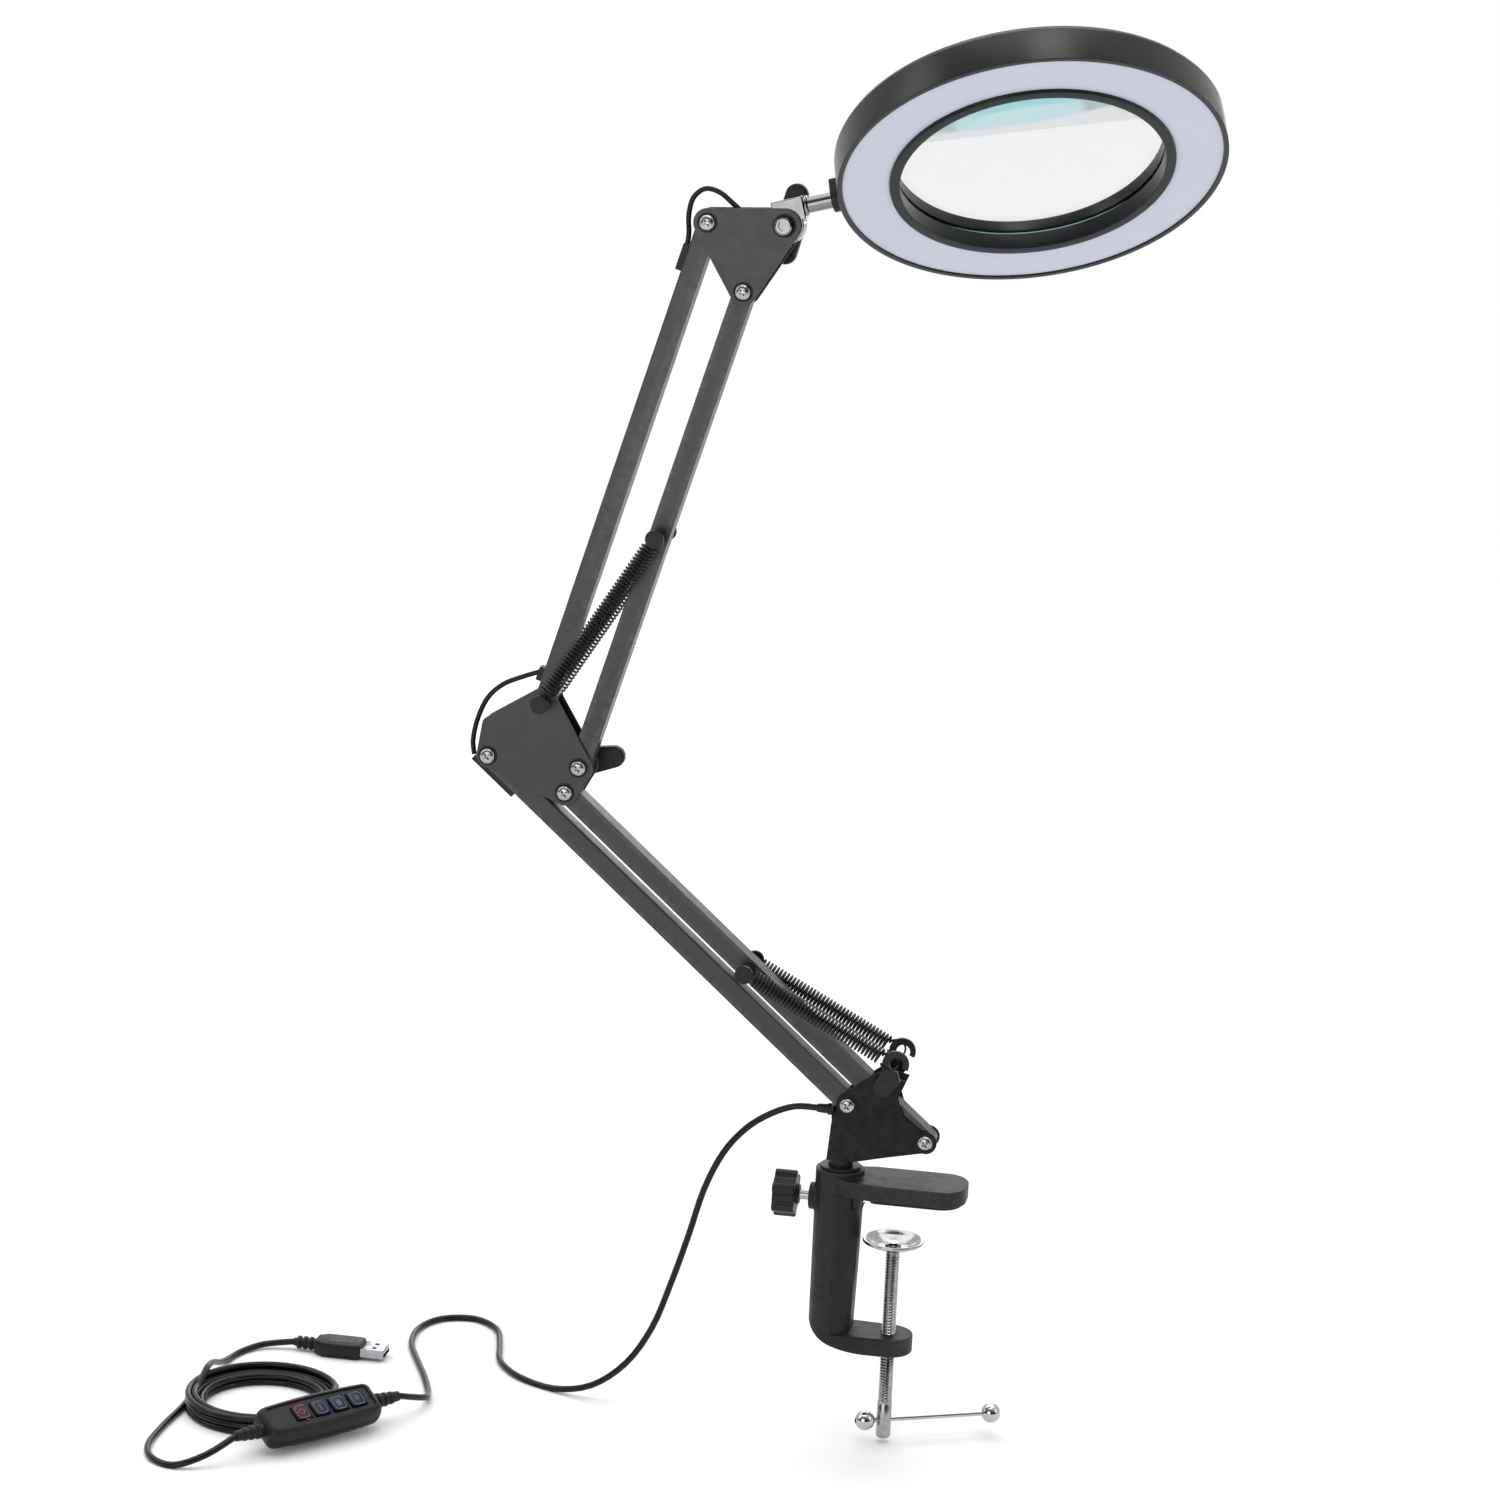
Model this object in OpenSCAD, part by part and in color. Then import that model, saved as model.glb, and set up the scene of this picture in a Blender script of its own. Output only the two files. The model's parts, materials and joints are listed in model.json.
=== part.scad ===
// Clamp-on magnifying lamp: table clamp, swivel base, two sprung parallelogram arms and a round
// lens head with a ring of LEDs. Millimetres, +Z up. The origin is where the clamp screw's axis
// meets the underside of the jaw pad. The arms lie in the plane y = 0 and the jaw points along +X.

/* [Arms] */
// Pivot to pivot length of every arm tube
link_length = 244; // [200:1:300]
// Outer width of the square arm tubes
tube_w = 10; // [8:0.5:14]
// Wall of the arm tubes
tube_wall = 1; // [0.8:0.1:2]
// Angle of the lower arm from +X
lower_angle = 139.3; // [110:0.1:142]
// Angle of the upper arm from +X
upper_angle = 73.1; // [40:0.1:100]
// Thickness of the pivot plates
plate_t = 1.2; // [1:0.1:2]
// Distance from a tie tube's lower pivot to its spring post
post_at = 120.5; // [90:0.5:150]
// Distance of the springs from the arm plane
spring_y = 12; // [11:0.5:14]
// Outer diameter of the springs
spring_d = 8.6; // [7:0.1:10]

/* [Head] */
// Angle of the stem above +X
stem_angle = 14.85; // [0:0.05:60]
// Roll of the head about its stem
head_roll = 33.7; // [0:0.1:90]
// Outer diameter of the ring housing
ring_d = 180.4; // [150:0.2:220]
// Height of the ring housing
ring_h = 19; // [14:0.5:26]
// Diameter of the lens
lens_d = 127.8; // [100:0.2:150]
// Radius of curvature of each lens face
lens_curve = 340; // [250:5:500]
// Number of LEDs in the ring
led_count = 36; // [24:1:60]

/* [Clamp] */
// Diameter of the clamp column
column_d = 24; // [20:1:30]
// Distance from the screw axis to the column axis
column_x = -28; // [-35:0.5:-26]
// Width of the jaw
jaw_w = 32; // [26:1:40]
// Reach of the jaw beyond the screw axis
jaw_reach = 35; // [28:1:45]
// Height of the foot's underside
foot_z = -79; // [-90:1:-65]
// Height of the pressure pad's rim
pad_z = -21.5; // [-40:0.5:-18]
// Diameter of the pressure pad
pad_d = 30.4; // [26:0.2:31]
// Diameter of the clamp screw
screw_d = 7.3; // [6:0.1:10]

/* [Cord] */
// Diameter of the cord
cord_d = 3.3; // [3:0.1:4]
// Height of the surface that the cord lies on
floor_z = -127; // [-140:1:-125]
// Outer diameter of the coil
coil_d = 77; // [70:1:90]

/* [Output] */
// Sub-part to draw

/* [Hidden] */
$fn = 64;
gap = 0.05;                       // radial clearance of every turning pin
slab = tube_w / 2 + 0.4;          // inner face of the pivot plates
plate_y = slab + plate_t;         // outer face of the pivot plates
pin_r = 2;
post_tip = 16.5;                  // half length of the spring posts
cap_r = 4.5;

lower_dir = [cos(lower_angle), sin(lower_angle)];
upper_dir = [cos(upper_angle), sin(upper_angle)];

// Pivots in the arm plane, as [x, z]: base 1 and 2, elbow 1 to 4, head 1, 2 and tilt
base_1 = [-25.2, 46];
base_2 = base_1 + [38.9, -15.4];
elbow_1 = base_1 + link_length * lower_dir;
elbow_2 = base_2 + link_length * lower_dir;
elbow_3 = elbow_1 + [26.9, 28.7];
elbow_4 = elbow_1 + [45.2, -2.6];
head_1 = elbow_3 + link_length * upper_dir;
head_2 = elbow_4 + link_length * upper_dir;
head_t = head_1 + [36.5, 0.4];
lower_post = base_2 + post_at * lower_dir;
upper_post = elbow_4 + post_at * upper_dir;
hook_eye = [-2, 70];

stem_lift = 7;                    // height of the stem's axis above the tilt pivot
ring_x = 118;                     // distance from the tilt pivot to the ring's axis
ring_r = ring_d / 2;
half_h = ring_h / 2;
back_wall = 2.2;                  // thickness of the housing behind the LED board
board_t = 1.6;
seat_r = 64;                      // inner radius of the housing, where the lens sits
rim_half = 1.56;                  // half the gap between the rings that hold the lens's rim
led_inner = 66;
led_outer = ring_r - 2.4;

pad_centre = pad_z - 4;           // top of the pad's dish at its middle
screw_top = pad_centre - 2.3;
screw_end = -124.6;
bar_z = -115.5;
bar_yaw = 25;
bar_left = -9.8;
bar_right = 55.8;
ball_r = 5;
lock_z = -3.5;
post_bottom = -35;
post_top = 17.4;
column_top = 12.5;

gland_z = 41.4;
gland_x = -41;

// Switch: place of its middle, turn about Z and lean of its face toward the front
switch_at = [-268, -76, floor_z + 11.9];
switch_yaw = 50;
switch_lean = 28;
switch_l = 65;
switch_w = 23;
switch_h = 14.6;
relief_end = 47;
key_size = 8.6;
key_pitch = 10.6;
key_z = 3.6;                      // height of a key's underside above the switch's middle

cord_r = cord_d / 2;
lie_z = floor_z + cord_r;         // height of a cord's middle where it lies flat
coil_at = [-306, -45];
coil_r = coil_d / 2 - cord_r;     // middle of the outermost turn
plug_at = [-297, 36, floor_z + 4.1];

function along(d, yaw) = [d * cos(yaw), d * sin(yaw), 0];
switch_in = switch_at + along(relief_end, switch_yaw);
switch_out = switch_at - along(relief_end, switch_yaw);

// The lead's route from the gland down to the surface, round a loop and into the switch
lead_route = [
  [gland_x, 0, gland_z], [-52, 0, 41], [-64, 0, 36], [-76, 1, 27], [-87, 2, 13], [-96, 3, -7],
  [-103, 4, -32], [-111, 5, -58], [-120, 6, -83], [-133, 8, -104], [-151, 11, -119],
  [-172, 17, lie_z], [-193, 28, lie_z], [-207, 46, lie_z], [-213, 68, lie_z],
  [-220, 90, lie_z], [-235, 102, lie_z], [-252, 97, lie_z], [-260, 80, lie_z],
  [-258, 58, lie_z], [-249, 36, lie_z], [-239, 14, lie_z], [-231, -8, lie_z],
  [-229, -24, -121], switch_in
];
// The tail's route from the switch to the outside of the coil
tail_route = [
  switch_out, [-309, -124, -121], [-323, -130, lie_z], [-336, -124, lie_z],
  [-343, -109, lie_z], [-344, -86, lie_z], [-343, -64, lie_z],
  [coil_at.x - coil_r, coil_at.y, lie_z]
];
// The end's route from the top of the coil's middle column, over the outer one, to the plug
end_route = [
  [coil_at.x - coil_r + cord_d, coil_at.y, lie_z + 2 * cord_d], [-339.6, -38, lie_z + 8.6],
  [-340.2, -29, lie_z + 10], [-341.2, -18, lie_z + 8.2], [-342, -5, lie_z + 3.4],
  [-341.8, 4, lie_z + 0.9], [-341, 12, lie_z], [-338, 22, lie_z], [-330, 32, lie_z + 0.8],
  plug_at - [18, 0, 0]
];

// ---------------------------------------------------------------- shared shapes

// A round bar along Y through the point [x, z]
module bar_y(at, r, y0, y1) {
  translate([at.x, y1, at.y]) rotate([90, 0, 0]) cylinder(r = r, h = y1 - y0);
}

// A flat piece between two Y values from a shape drawn in the X, Z plane
module flat_y(y0, y1) {
  translate([0, y1, 0]) rotate([90, 0, 0]) linear_extrude(y1 - y0) children();
}

module disc(at, r) {
  translate(at) circle(r = r);
}

// Places a piece drawn along +X at a point of the arm plane, turned up by an angle
module aim(at, angle) {
  translate([at.x, 0, at.y]) rotate([0, -angle, 0]) children();
}

// A square tube between two pivots with rounded cheeks and an open bore
module arm_tube(at, angle) {
  half = tube_w / 2;
  inner = tube_w - 2 * tube_wall;
  aim(at, angle) difference() {
    union() {
      translate([0, -half, -half]) cube([link_length, tube_w, tube_w]);
      for (x = [0, link_length]) bar_y([x, 0], half, -half, half);
    }
    translate([-tube_w, -inner / 2, -inner / 2]) cube([link_length + 2 * tube_w, inner, inner]);
    for (x = [0, link_length]) bar_y([x, 0], pin_r + gap, -tube_w, tube_w);
    children();
  }
}

// A pan head with a cross recess, its washer and its shank
module pivot_screw(at, tip) {
  bar_y(at, pin_r, -plate_y, tip);
  bar_y(at, 4.7, -plate_y - 0.5, -plate_y);
  difference() {
    union() {
      bar_y(at, 3.8, -plate_y - 2.2, -plate_y - 0.5);
      bar_y(at, 3, -plate_y - 2.8, -plate_y - 2.2);
    }
    for (turn = [45, 135])
      translate([at.x, -plate_y - 2.8, at.y]) rotate([0, turn, 0])
        cube([4.4, 2.4, 0.9], center = true);
  }
}

// A hexagon nut on the far side of the plates
module pivot_nut(at) {
  translate([at.x, plate_y + 3, at.y]) rotate([90, 0, 0]) difference() {
    cylinder(r = 4, h = 3, $fn = 6);
    translate([0, 0, -1]) cylinder(r = pin_r + gap, h = 5);
  }
}

// Two caps and two collars of a spring post that stands out on both sides
module spring_post(at, inner_y) {
  bar_y(at, pin_r, -post_tip + 1, post_tip - 1);
  for (side = [-1, 1]) scale([1, side, 1]) {
    bar_y(at, cap_r, post_tip - 2.2, post_tip);
    bar_y(at, 3.2, inner_y, inner_y + 2);
  }
}

// Front and rear springs as tubes of their outer size
module spring_pair(from, to, short_a, short_b) {
  span = to - from;
  reach = norm(span);
  turn = atan2(span.y, span.x);
  for (side = [-1, 1])
    translate([0, side * spring_y, 0]) aim(from, turn)
      translate([short_a, 0, 0]) rotate([0, 90, 0]) difference() {
        cylinder(d = spring_d, h = reach - short_a - short_b);
        translate([0, 0, -1]) cylinder(d = spring_d - 2.6, h = reach);
      }
}

// A flat wing nut that turns about Y behind the plates
module wing_nut(at, turn) {
  translate([at.x, 0, at.y]) rotate([0, -turn, 0]) difference() {
    union() {
      bar_y([0, 0], 5.6, plate_y + 0.2, 16);
      flat_y(10.5, 16) hull() {
        disc([-13.8, 0], 5.4);
        disc([0, 0], 7);
        disc([13.8, 0], 5.4);
      }
    }
    bar_y([0, 0], pin_r + gap, 0, 20);
  }
}

// Sweep of a round cord along a list of points, as one polyhedron with flat ends
function unit(v) = v / norm(v);
function heading(p, i) =
  unit((i == 0 ? p[1] : i == len(p) - 1 ? p[i] : p[i + 1])
       - (i == 0 ? p[0] : i == len(p) - 1 ? p[i - 1] : p[i - 1]));
function side_of(t) = unit(cross(abs(t.z) > 0.9 ? [0, 1, 0] : [0, 0, 1], t));
function carried(p, i) =
  i == 0 ? side_of(heading(p, 0))
         : let (t = heading(p, i), s = carried(p, i - 1)) unit(s - (s * t) * t);
// Points between the chosen ones on a smooth curve
function spline(a, b, c, d, u) =
  0.5 * (2 * b + (c - a) * u + (2 * a - 5 * b + 4 * c - d) * u * u
         + (3 * b - a - 3 * c + d) * u * u * u);
function smooth(p, parts) = [
  for (i = [0 : len(p) - 2], k = [0 : parts - 1])
    spline(p[max(i - 1, 0)], p[i], p[i + 1], p[min(i + 2, len(p) - 1)], k / parts),
  p[len(p) - 1]
];
module cord_tube(route, r, parts, sides = 8) {
  path = smooth(route, parts);
  n = len(path);
  points = [
    for (i = [0 : n - 1]) let (t = heading(path, i), s = carried(path, i), w = cross(t, s))
      for (k = [0 : sides - 1])
        path[i] + r * (cos(360 * k / sides) * s + sin(360 * k / sides) * w)
  ];
  faces = [
    [for (k = [0 : sides - 1]) sides - 1 - k],
    for (i = [0 : n - 2], k = [0 : sides - 1]) let (a = i * sides, m = (k + 1) % sides)
      each [[a + k, a + m, a + sides + m], [a + k, a + sides + m, a + sides + k]],
    [for (k = [0 : sides - 1]) (n - 1) * sides + k]
  ];
  polyhedron(points = points, faces = [for (f = faces) [for (k = [len(f) - 1 : -1 : 0]) f[k]]]);
}

// ---------------------------------------------------------------- clamp

module clamp_frame() {
  r = column_d / 2;
  heel = [30, 15];                // length and height of the curve under the column
  face_top = [-16.2, -6];         // inner face of the column, from the jaw down to the foot
  face_foot = [-18.6, foot_z + 9];
  color("#1c1c1e") difference() {
    union() {
      translate([column_x, 0, foot_z]) cylinder(r = r, h = column_top - foot_z);
      translate([0, 0, 1.4]) linear_extrude(8) {
        polygon([
          [column_x, -r], [-12, -jaw_w / 2], [jaw_reach - 12, -jaw_w / 2],
          [jaw_reach - 12, jaw_w / 2], [-12, jaw_w / 2], [column_x, r]
        ]);
        for (side = [-1, 1]) disc([jaw_reach - 12, side * (jaw_w / 2 - 12)], 12);
        translate([jaw_reach - 12, 12 - jaw_w / 2]) square([12, jaw_w - 24]);
      }
      translate([0, 0, foot_z]) {
        cylinder(r = 12, h = 9);
        translate([column_x, -12, 0]) cube([-column_x, 24, 9]);
      }
      translate([-42.5, 0, lock_z]) rotate([0, 90, 0]) cylinder(r = 6.7, h = 8);
      flat_y(-9, 9) difference() {
        polygon([[-20, 1.6], [-12.2, 1.6], [-12.2, 1.4], [-16.2, -2.6], [-20, -6]]);
        disc([-12.2, -2.6], 4);
      }
    }
    translate([column_x, 0, post_bottom - 1]) cylinder(r = 6 + gap, h = 60);
    translate([column_x, 0, 3]) cylinder(r = 8.5, h = 20);
    flat_y(-20, 20) polygon([face_top, face_foot, [-7, face_foot.y], [-7, face_top.y]]);
    translate([-50, 0, lock_z]) rotate([0, 90, 0]) cylinder(r = 2.5 + gap, h = 20);
    translate([0, 0, foot_z - 1]) cylinder(d = screw_d + 2 * gap, h = 11);
    flat_y(-20, 20) difference() {
      translate([column_x - r - 1, foot_z - 1]) square(heel + [1, 1]);
      translate([column_x - r, foot_z] + heel) scale(heel) circle(1);
    }
  }
}

module jaw_pad() {
  color("#26262a") linear_extrude(1.4) hull() {
    for (side = [-1, 1]) {
      disc([jaw_reach - 13, side * (jaw_w / 2 - 12)], 11);
      disc([-8, side * (jaw_w / 2 - 4)], 3);
    }
  }
}

module column_bush() {
  color("#3a3a3c") translate([column_x, 0, 3]) difference() {
    union() {
      cylinder(r = 8.5, h = column_top - 3);
      translate([0, 0, column_top - 3]) cylinder(r = 10, h = 1.4);
    }
    translate([0, 0, -1]) cylinder(r = 6 + gap, h = 20);
  }
}

module lock_knob() {
  color("#161618") translate([-60, 0, lock_z]) rotate([0, 90, 0]) difference() {
    union() {
      linear_extrude(11) {
        circle(r = 10);
        for (k = [0 : 5]) rotate(60 * k) translate([9, 0]) circle(r = 2.9);
      }
      translate([0, 0, 11]) cylinder(r = 5, h = 1.6);
    }
    translate([0, 0, 2]) cylinder(r = 2.5, h = 20);
  }
}

module lock_stud() {
  color("#8c8c90") translate([-58, 0, lock_z]) rotate([0, 90, 0])
    cylinder(r = 2.5, h = column_x - 6.1 + 58);
}

module pad_rivet() {
  color("#d5d5d8") {
    translate([0, 0, pad_centre + 0.6]) cylinder(r = 4, h = 1);
    translate([0, 0, pad_centre + 1.6]) cylinder(r1 = 4, r2 = 2.6, h = 0.7);
    translate([0, 0, screw_top - 5]) cylinder(r = pin_r, h = 5.6 + pad_centre - screw_top);
  }
}

module pressure_pad() {
  edge = pad_z - pad_centre;
  color("#c9c9cc") translate([0, 0, pad_centre]) rotate_extrude() polygon([
    [2.6, -1.4], [7, -1.4], [pad_d / 2, edge - 1.4], [pad_d / 2, edge], [pad_d / 2 - 1.5, edge],
    [7, 0], [2.6, 0]
  ]);
}

module clamp_screw() {
  groove = 0.5;
  pitch = 1.5;
  r = screw_d / 2;
  color("#c4c4c8") difference() {
    union() {
      translate([0, 0, screw_end + 20]) cylinder(r = r, h = screw_top - screw_end - 20);
      translate([0, 0, screw_end + 1]) cylinder(r = r, h = 19);
      translate([0, 0, screw_end]) cylinder(r1 = r - 1, r2 = r, h = 1);
    }
    translate([0, 0, screw_top - 5.5]) cylinder(r = pin_r + gap, h = 10);
    rotate([0, 0, bar_yaw]) translate([-10, 0, bar_z]) rotate([0, 90, 0])
      cylinder(r = 1.3 + gap, h = 20);
    for (z = [screw_end + 22 : pitch : screw_top - 6]) translate([0, 0, z])
      rotate_extrude() translate([r, 0]) rotate(45) square(groove * sqrt(2), center = true);
  }
}

module tommy_bar() {
  color("#cfcfd2") rotate([0, 0, bar_yaw]) translate([bar_left, 0, bar_z]) rotate([0, 90, 0])
    cylinder(r = 1.3, h = bar_right - bar_left);
}

module tommy_balls() {
  color("#dadadd") rotate([0, 0, bar_yaw]) for (x = [bar_left, bar_right])
    translate([x, 0, bar_z]) difference() {
      sphere(r = ball_r);
      rotate([0, 90, 0]) cylinder(r = 1.3, h = 20, center = true);
    }
}

// ---------------------------------------------------------------- base

// Outline of one cheek, from the neck up round the spring ear and the second pivot
module base_outline() {
  difference() {
    union() {
      polygon([
        [-34.4, post_top], [-32.8, 36.5], [-30.7, 43.5], [-28.7, 50.6], [-10.8, 64], [3, 60.6],
        [-0.6, 52], [2.4, 43], [9.6, 37.4], [18.4, 31.6], [16, 26], [-4, 21.6], [-21.4, post_top]
      ]);
      disc(base_1, 5.7);
      disc(base_2, 5.6);
    }
    disc(base_1, pin_r + gap);
    disc(base_2, pin_r + gap);
  }
}

module base_bracket() {
  color("#242428") difference() {
    union() {
      flat_y(-plate_y, -slab) base_outline();
      flat_y(slab, plate_y) base_outline();
      flat_y(-slab, slab) polygon([
        [-34.4, post_top], [-32.8, 36.5], [-33.4, 44.3], [-31.9, 44.3], [-31.4, 36.5],
        [-32.9, post_top + 1.4], [-21.4, post_top + 1.4], [-4, 23], [-4, 21.6],
        [-21.4, post_top]
      ]);
    }
    translate([column_x, 0, 10]) cylinder(r = 3 + gap, h = 12);
    translate([-40, 0, gland_z]) rotate([0, 90, 0]) cylinder(r = cord_r, h = 12);
  }
}

module pivot_post() {
  color("#2c2c30") translate([column_x, 0, 0]) {
    translate([0, 0, post_bottom]) cylinder(r = 6, h = post_top - post_bottom);
    translate([0, 0, post_top]) cylinder(r = 3, h = 1.4);
    translate([0, 0, post_top + 1.4]) cylinder(r = 4.6, h = 3);
  }
}

module base_pivot_screws() {
  color("#d8d8da") for (at = [base_1, base_2]) pivot_screw(at, plate_y + 3.6);
}

module base_pivot_nuts() {
  color("#b8b8bc") for (at = [base_1, base_2]) pivot_nut(at);
}

// Hooked ears for the lower springs, riveted to the outside of each cheek
module base_spring_hooks() {
  rivet = [-7.5, 58.5];
  color("#202024") for (side = [-1, 1]) scale([1, side, 1]) {
    flat_y(spring_y - 1, spring_y + 1) difference() {
      union() {
        polygon([
          rivet + [-4.6, -1.6], rivet + [1.6, -4.6], [1.6, 62.5], [3, 66], [-4, 75.2], [-6.6, 73.4]
        ]);
        disc(rivet, 4.8);
        disc(hook_eye + [0, 0.6], 6.6);
      }
      disc(hook_eye + [0.4, 0.4], 3.4);
      polygon([hook_eye, hook_eye + [3, -9], hook_eye + [8, -3]]);
    }
    bar_y(rivet, 3.4, plate_y, spring_y - 1);
  }
}

module cord_gland() {
  color("#141416") translate([gland_x, 0, gland_z]) rotate([0, 90, 0]) difference() {
    union() {
      cylinder(r1 = 2.1, r2 = 2.6, h = 7.6);
      translate([0, 0, 5.4]) cylinder(r = 2.9, h = 2.2);
    }
    translate([0, 0, 3]) cylinder(r = 1.2, h = 10);
  }
}

// ---------------------------------------------------------------- lower arm

module lower_main_tube() {
  color("#2a2a2e") arm_tube(base_1, lower_angle);
}

// Strip that leads the jumper lead into the open end of the main tube
module lower_cable_guide() {
  half = tube_w / 2;
  color("#141416") aim(base_1, lower_angle)
    translate([link_length - 22, -3, half]) difference() {
      cube([27, 6, 3.2]);
      translate([23, 1.7, -1]) cube([5, 2.6, 2.4]);
    }
}

module lower_tie_tube() {
  color("#2a2a2e") arm_tube(base_2, lower_angle) bar_y([post_at, 0], pin_r, -10, 10);
}

module lower_spring_post() {
  color("#1a1a1c") spring_post(lower_post, tube_w / 2);
}

module lower_springs() {
  color("#19191b") spring_pair(lower_post, hook_eye, 5, 8.5);
}

// ---------------------------------------------------------------- elbow

module elbow_plate(y0, y1) {
  flat_y(y0, y1) difference() {
    hull() {
      disc(elbow_1, 5.8);
      disc(elbow_2, 6.4);
      disc(elbow_4, 7.2);
      disc(elbow_3, 6.6);
      disc([-209.6, 220.6], 4);
    }
    for (at = [elbow_1, elbow_2, elbow_3, elbow_4]) disc(at, pin_r + gap);
  }
}

module elbow_plate_front() {
  color("#2a2a2e") elbow_plate(-plate_y, -slab);
}

module elbow_plate_rear() {
  color("#242428") elbow_plate(slab, plate_y);
}

module elbow_pivot_screws() {
  color("#d8d8da") {
    for (at = [elbow_1, elbow_2]) pivot_screw(at, plate_y + 3.6);
    pivot_screw(elbow_4, 17.5);
  }
}

module elbow_pivot_nuts() {
  color("#b8b8bc") for (at = [elbow_1, elbow_2]) pivot_nut(at);
}

module elbow_spring_post() {
  color("#1a1a1c") spring_post(elbow_3, plate_y);
}

module elbow_wing_nut() {
  color("#161618") wing_nut(elbow_4, 13);
}

// ---------------------------------------------------------------- upper arm

module upper_main_tube() {
  color("#2a2a2e") arm_tube(elbow_3, upper_angle);
}

module upper_cable_clips() {
  half = tube_w / 2;
  color("#141416") aim(elbow_3, upper_angle) {
    translate([8, -3, half]) cube([7, 6, 3]);
    translate([link_length - 26, -3, half]) cube([13, 6, 3.2]);
  }
}

module upper_tie_tube() {
  color("#2a2a2e") arm_tube(elbow_4, upper_angle) bar_y([post_at, 0], pin_r, -10, 10);
}

module upper_spring_post() {
  color("#1a1a1c") spring_post(upper_post, tube_w / 2);
}

module upper_springs() {
  color("#19191b") spring_pair(elbow_3, upper_post, 6, 6);
}

// Leads that carry the wires across the elbow and into the head bracket
module jumper_leads() {
  lead_r = 1.25;
  left = [-sin(upper_angle), cos(upper_angle)];
  low = elbow_3 + 11.5 * upper_dir + (tube_w / 2 + 3) * left;
  high = head_1 - 13 * upper_dir + (tube_w / 2 + 1.8) * left;
  color("#101012") {
    cord_tube([
      [low.x, 0, low.y], [-196, 0, 244], [-205.5, 0, 239.5], [-213, 0, 232], [-217.6, 0, 221],
      [-219.4, 0, 211], [-218.6, 0, 204.1]
    ], lead_r, 3);
    cord_tube([
      [high.x, 0, high.y], [-122.2, 0, 462], [-122.6, 0, 470], [-120.8, 0, 478],
      [-115.4, 0, 482.6], [-108.4, 0, 481.4], [-101.6, 0, 476.4], [-95, 0, 471]
    ], lead_r, 3);
  }
}

// ---------------------------------------------------------------- head bracket

module head_plate(y0, y1) {
  flat_y(y0, y1) difference() {
    hull() {
      disc(head_1, 6.8);
      disc(head_2, 6.4);
      disc(head_t, 8);
    }
    disc(head_1, pin_r + gap);
    disc(head_2, pin_r + gap);
    disc(head_t, pin_r + gap);
  }
}

module head_plate_front() {
  color("#2a2a2e") head_plate(-plate_y, -slab);
}

module head_plate_rear() {
  color("#242428") head_plate(slab, plate_y);
}

module head_pivot_screws() {
  color("#d8d8da") for (at = [head_1, head_2]) pivot_screw(at, plate_y + 3.6);
}

module head_pivot_nuts() {
  color("#b8b8bc") for (at = [head_1, head_2]) pivot_nut(at);
}

// Socket head bolt that clamps the yoke, with its washer
module head_clamp_bolt() {
  color("#d8d8da") {
    bar_y(head_t, pin_r, -plate_y, 17.5);
    bar_y(head_t, 5.4, -plate_y - 0.6, -plate_y);
    difference() {
      bar_y(head_t, 4.4, -plate_y - 3.4, -plate_y - 0.6);
      translate([head_t.x, -plate_y - 1.2, head_t.y]) rotate([90, 0, 0])
        cylinder(r = 2.7, h = 5, $fn = 6);
    }
  }
}

module head_wing_nut() {
  color("#161618") wing_nut(head_t, 81);
}

// Draws in the head's own frame: X along the stem, origin on the tilt pivot
module head_frame() {
  aim(head_t, stem_angle) children();
}

// Draws in the ring's frame: origin at the middle of the ring, Z along its axis, LEDs facing -Z
module ring_frame() {
  head_frame() translate([0, 0, stem_lift]) rotate([-head_roll, 0, 0])
    translate([ring_x, 0, 0]) children();
}

module head_yoke() {
  half = slab - 0.5;
  color("#d0d0d4") head_frame() difference() {
    union() {
      bar_y([0, 0], 9, -half, half);
      translate([-4.6, -half, 1]) cube([15.2, 2 * half, 10.8]);
      translate([10.6, 0, stem_lift]) rotate([0, 90, 0]) cylinder(r = 4.8, h = 1.4);
    }
    bar_y([0, 0], pin_r + gap, -10, 10);
    translate([1, 0, stem_lift]) rotate([0, 90, 0]) cylinder(r = 3 + gap, h = 14);
  }
}

// ---------------------------------------------------------------- head

module ring_housing() {
  back_r = 4;
  color("#1e1e22") ring_frame() difference() {
    rotate_extrude() difference() {
      union() {
        translate([seat_r, -half_h]) square([ring_r - seat_r, ring_h - back_r]);
        translate([seat_r, half_h - back_r]) square([ring_r - seat_r - back_r, back_r]);
        translate([ring_r - back_r, half_h - back_r]) circle(r = back_r);
      }
      translate([led_inner, -half_h - 1]) square([led_outer - led_inner, ring_h + 1 - back_wall]);
    }
    translate([-ring_r - 5, 0, 0]) rotate([0, 90, 0]) cylinder(r = 3.05, h = 10);
  }
}

module led_ring() {
  middle = (led_inner + led_outer) / 2;
  color("#e8e6d8") ring_frame() translate([0, 0, half_h - back_wall - board_t]) {
    difference() {
      cylinder(r = led_outer - 0.2, h = board_t);
      translate([0, 0, -1]) cylinder(r = led_inner + 0.2, h = board_t + 2);
    }
    for (k = [0 : led_count - 1]) rotate([0, 0, 360 * (k + 0.5) / led_count])
      translate([middle - 2.5, -2, -0.8]) cube([5, 4, 1]);
  }
}

module diffuser() {
  color("#f2f0ff") ring_frame() translate([0, 0, 0.8 - half_h]) difference() {
    cylinder(r = led_outer - 0.05, h = 2);
    translate([0, 0, -1]) cylinder(r = led_inner + 0.05, h = 4);
  }
}

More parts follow.
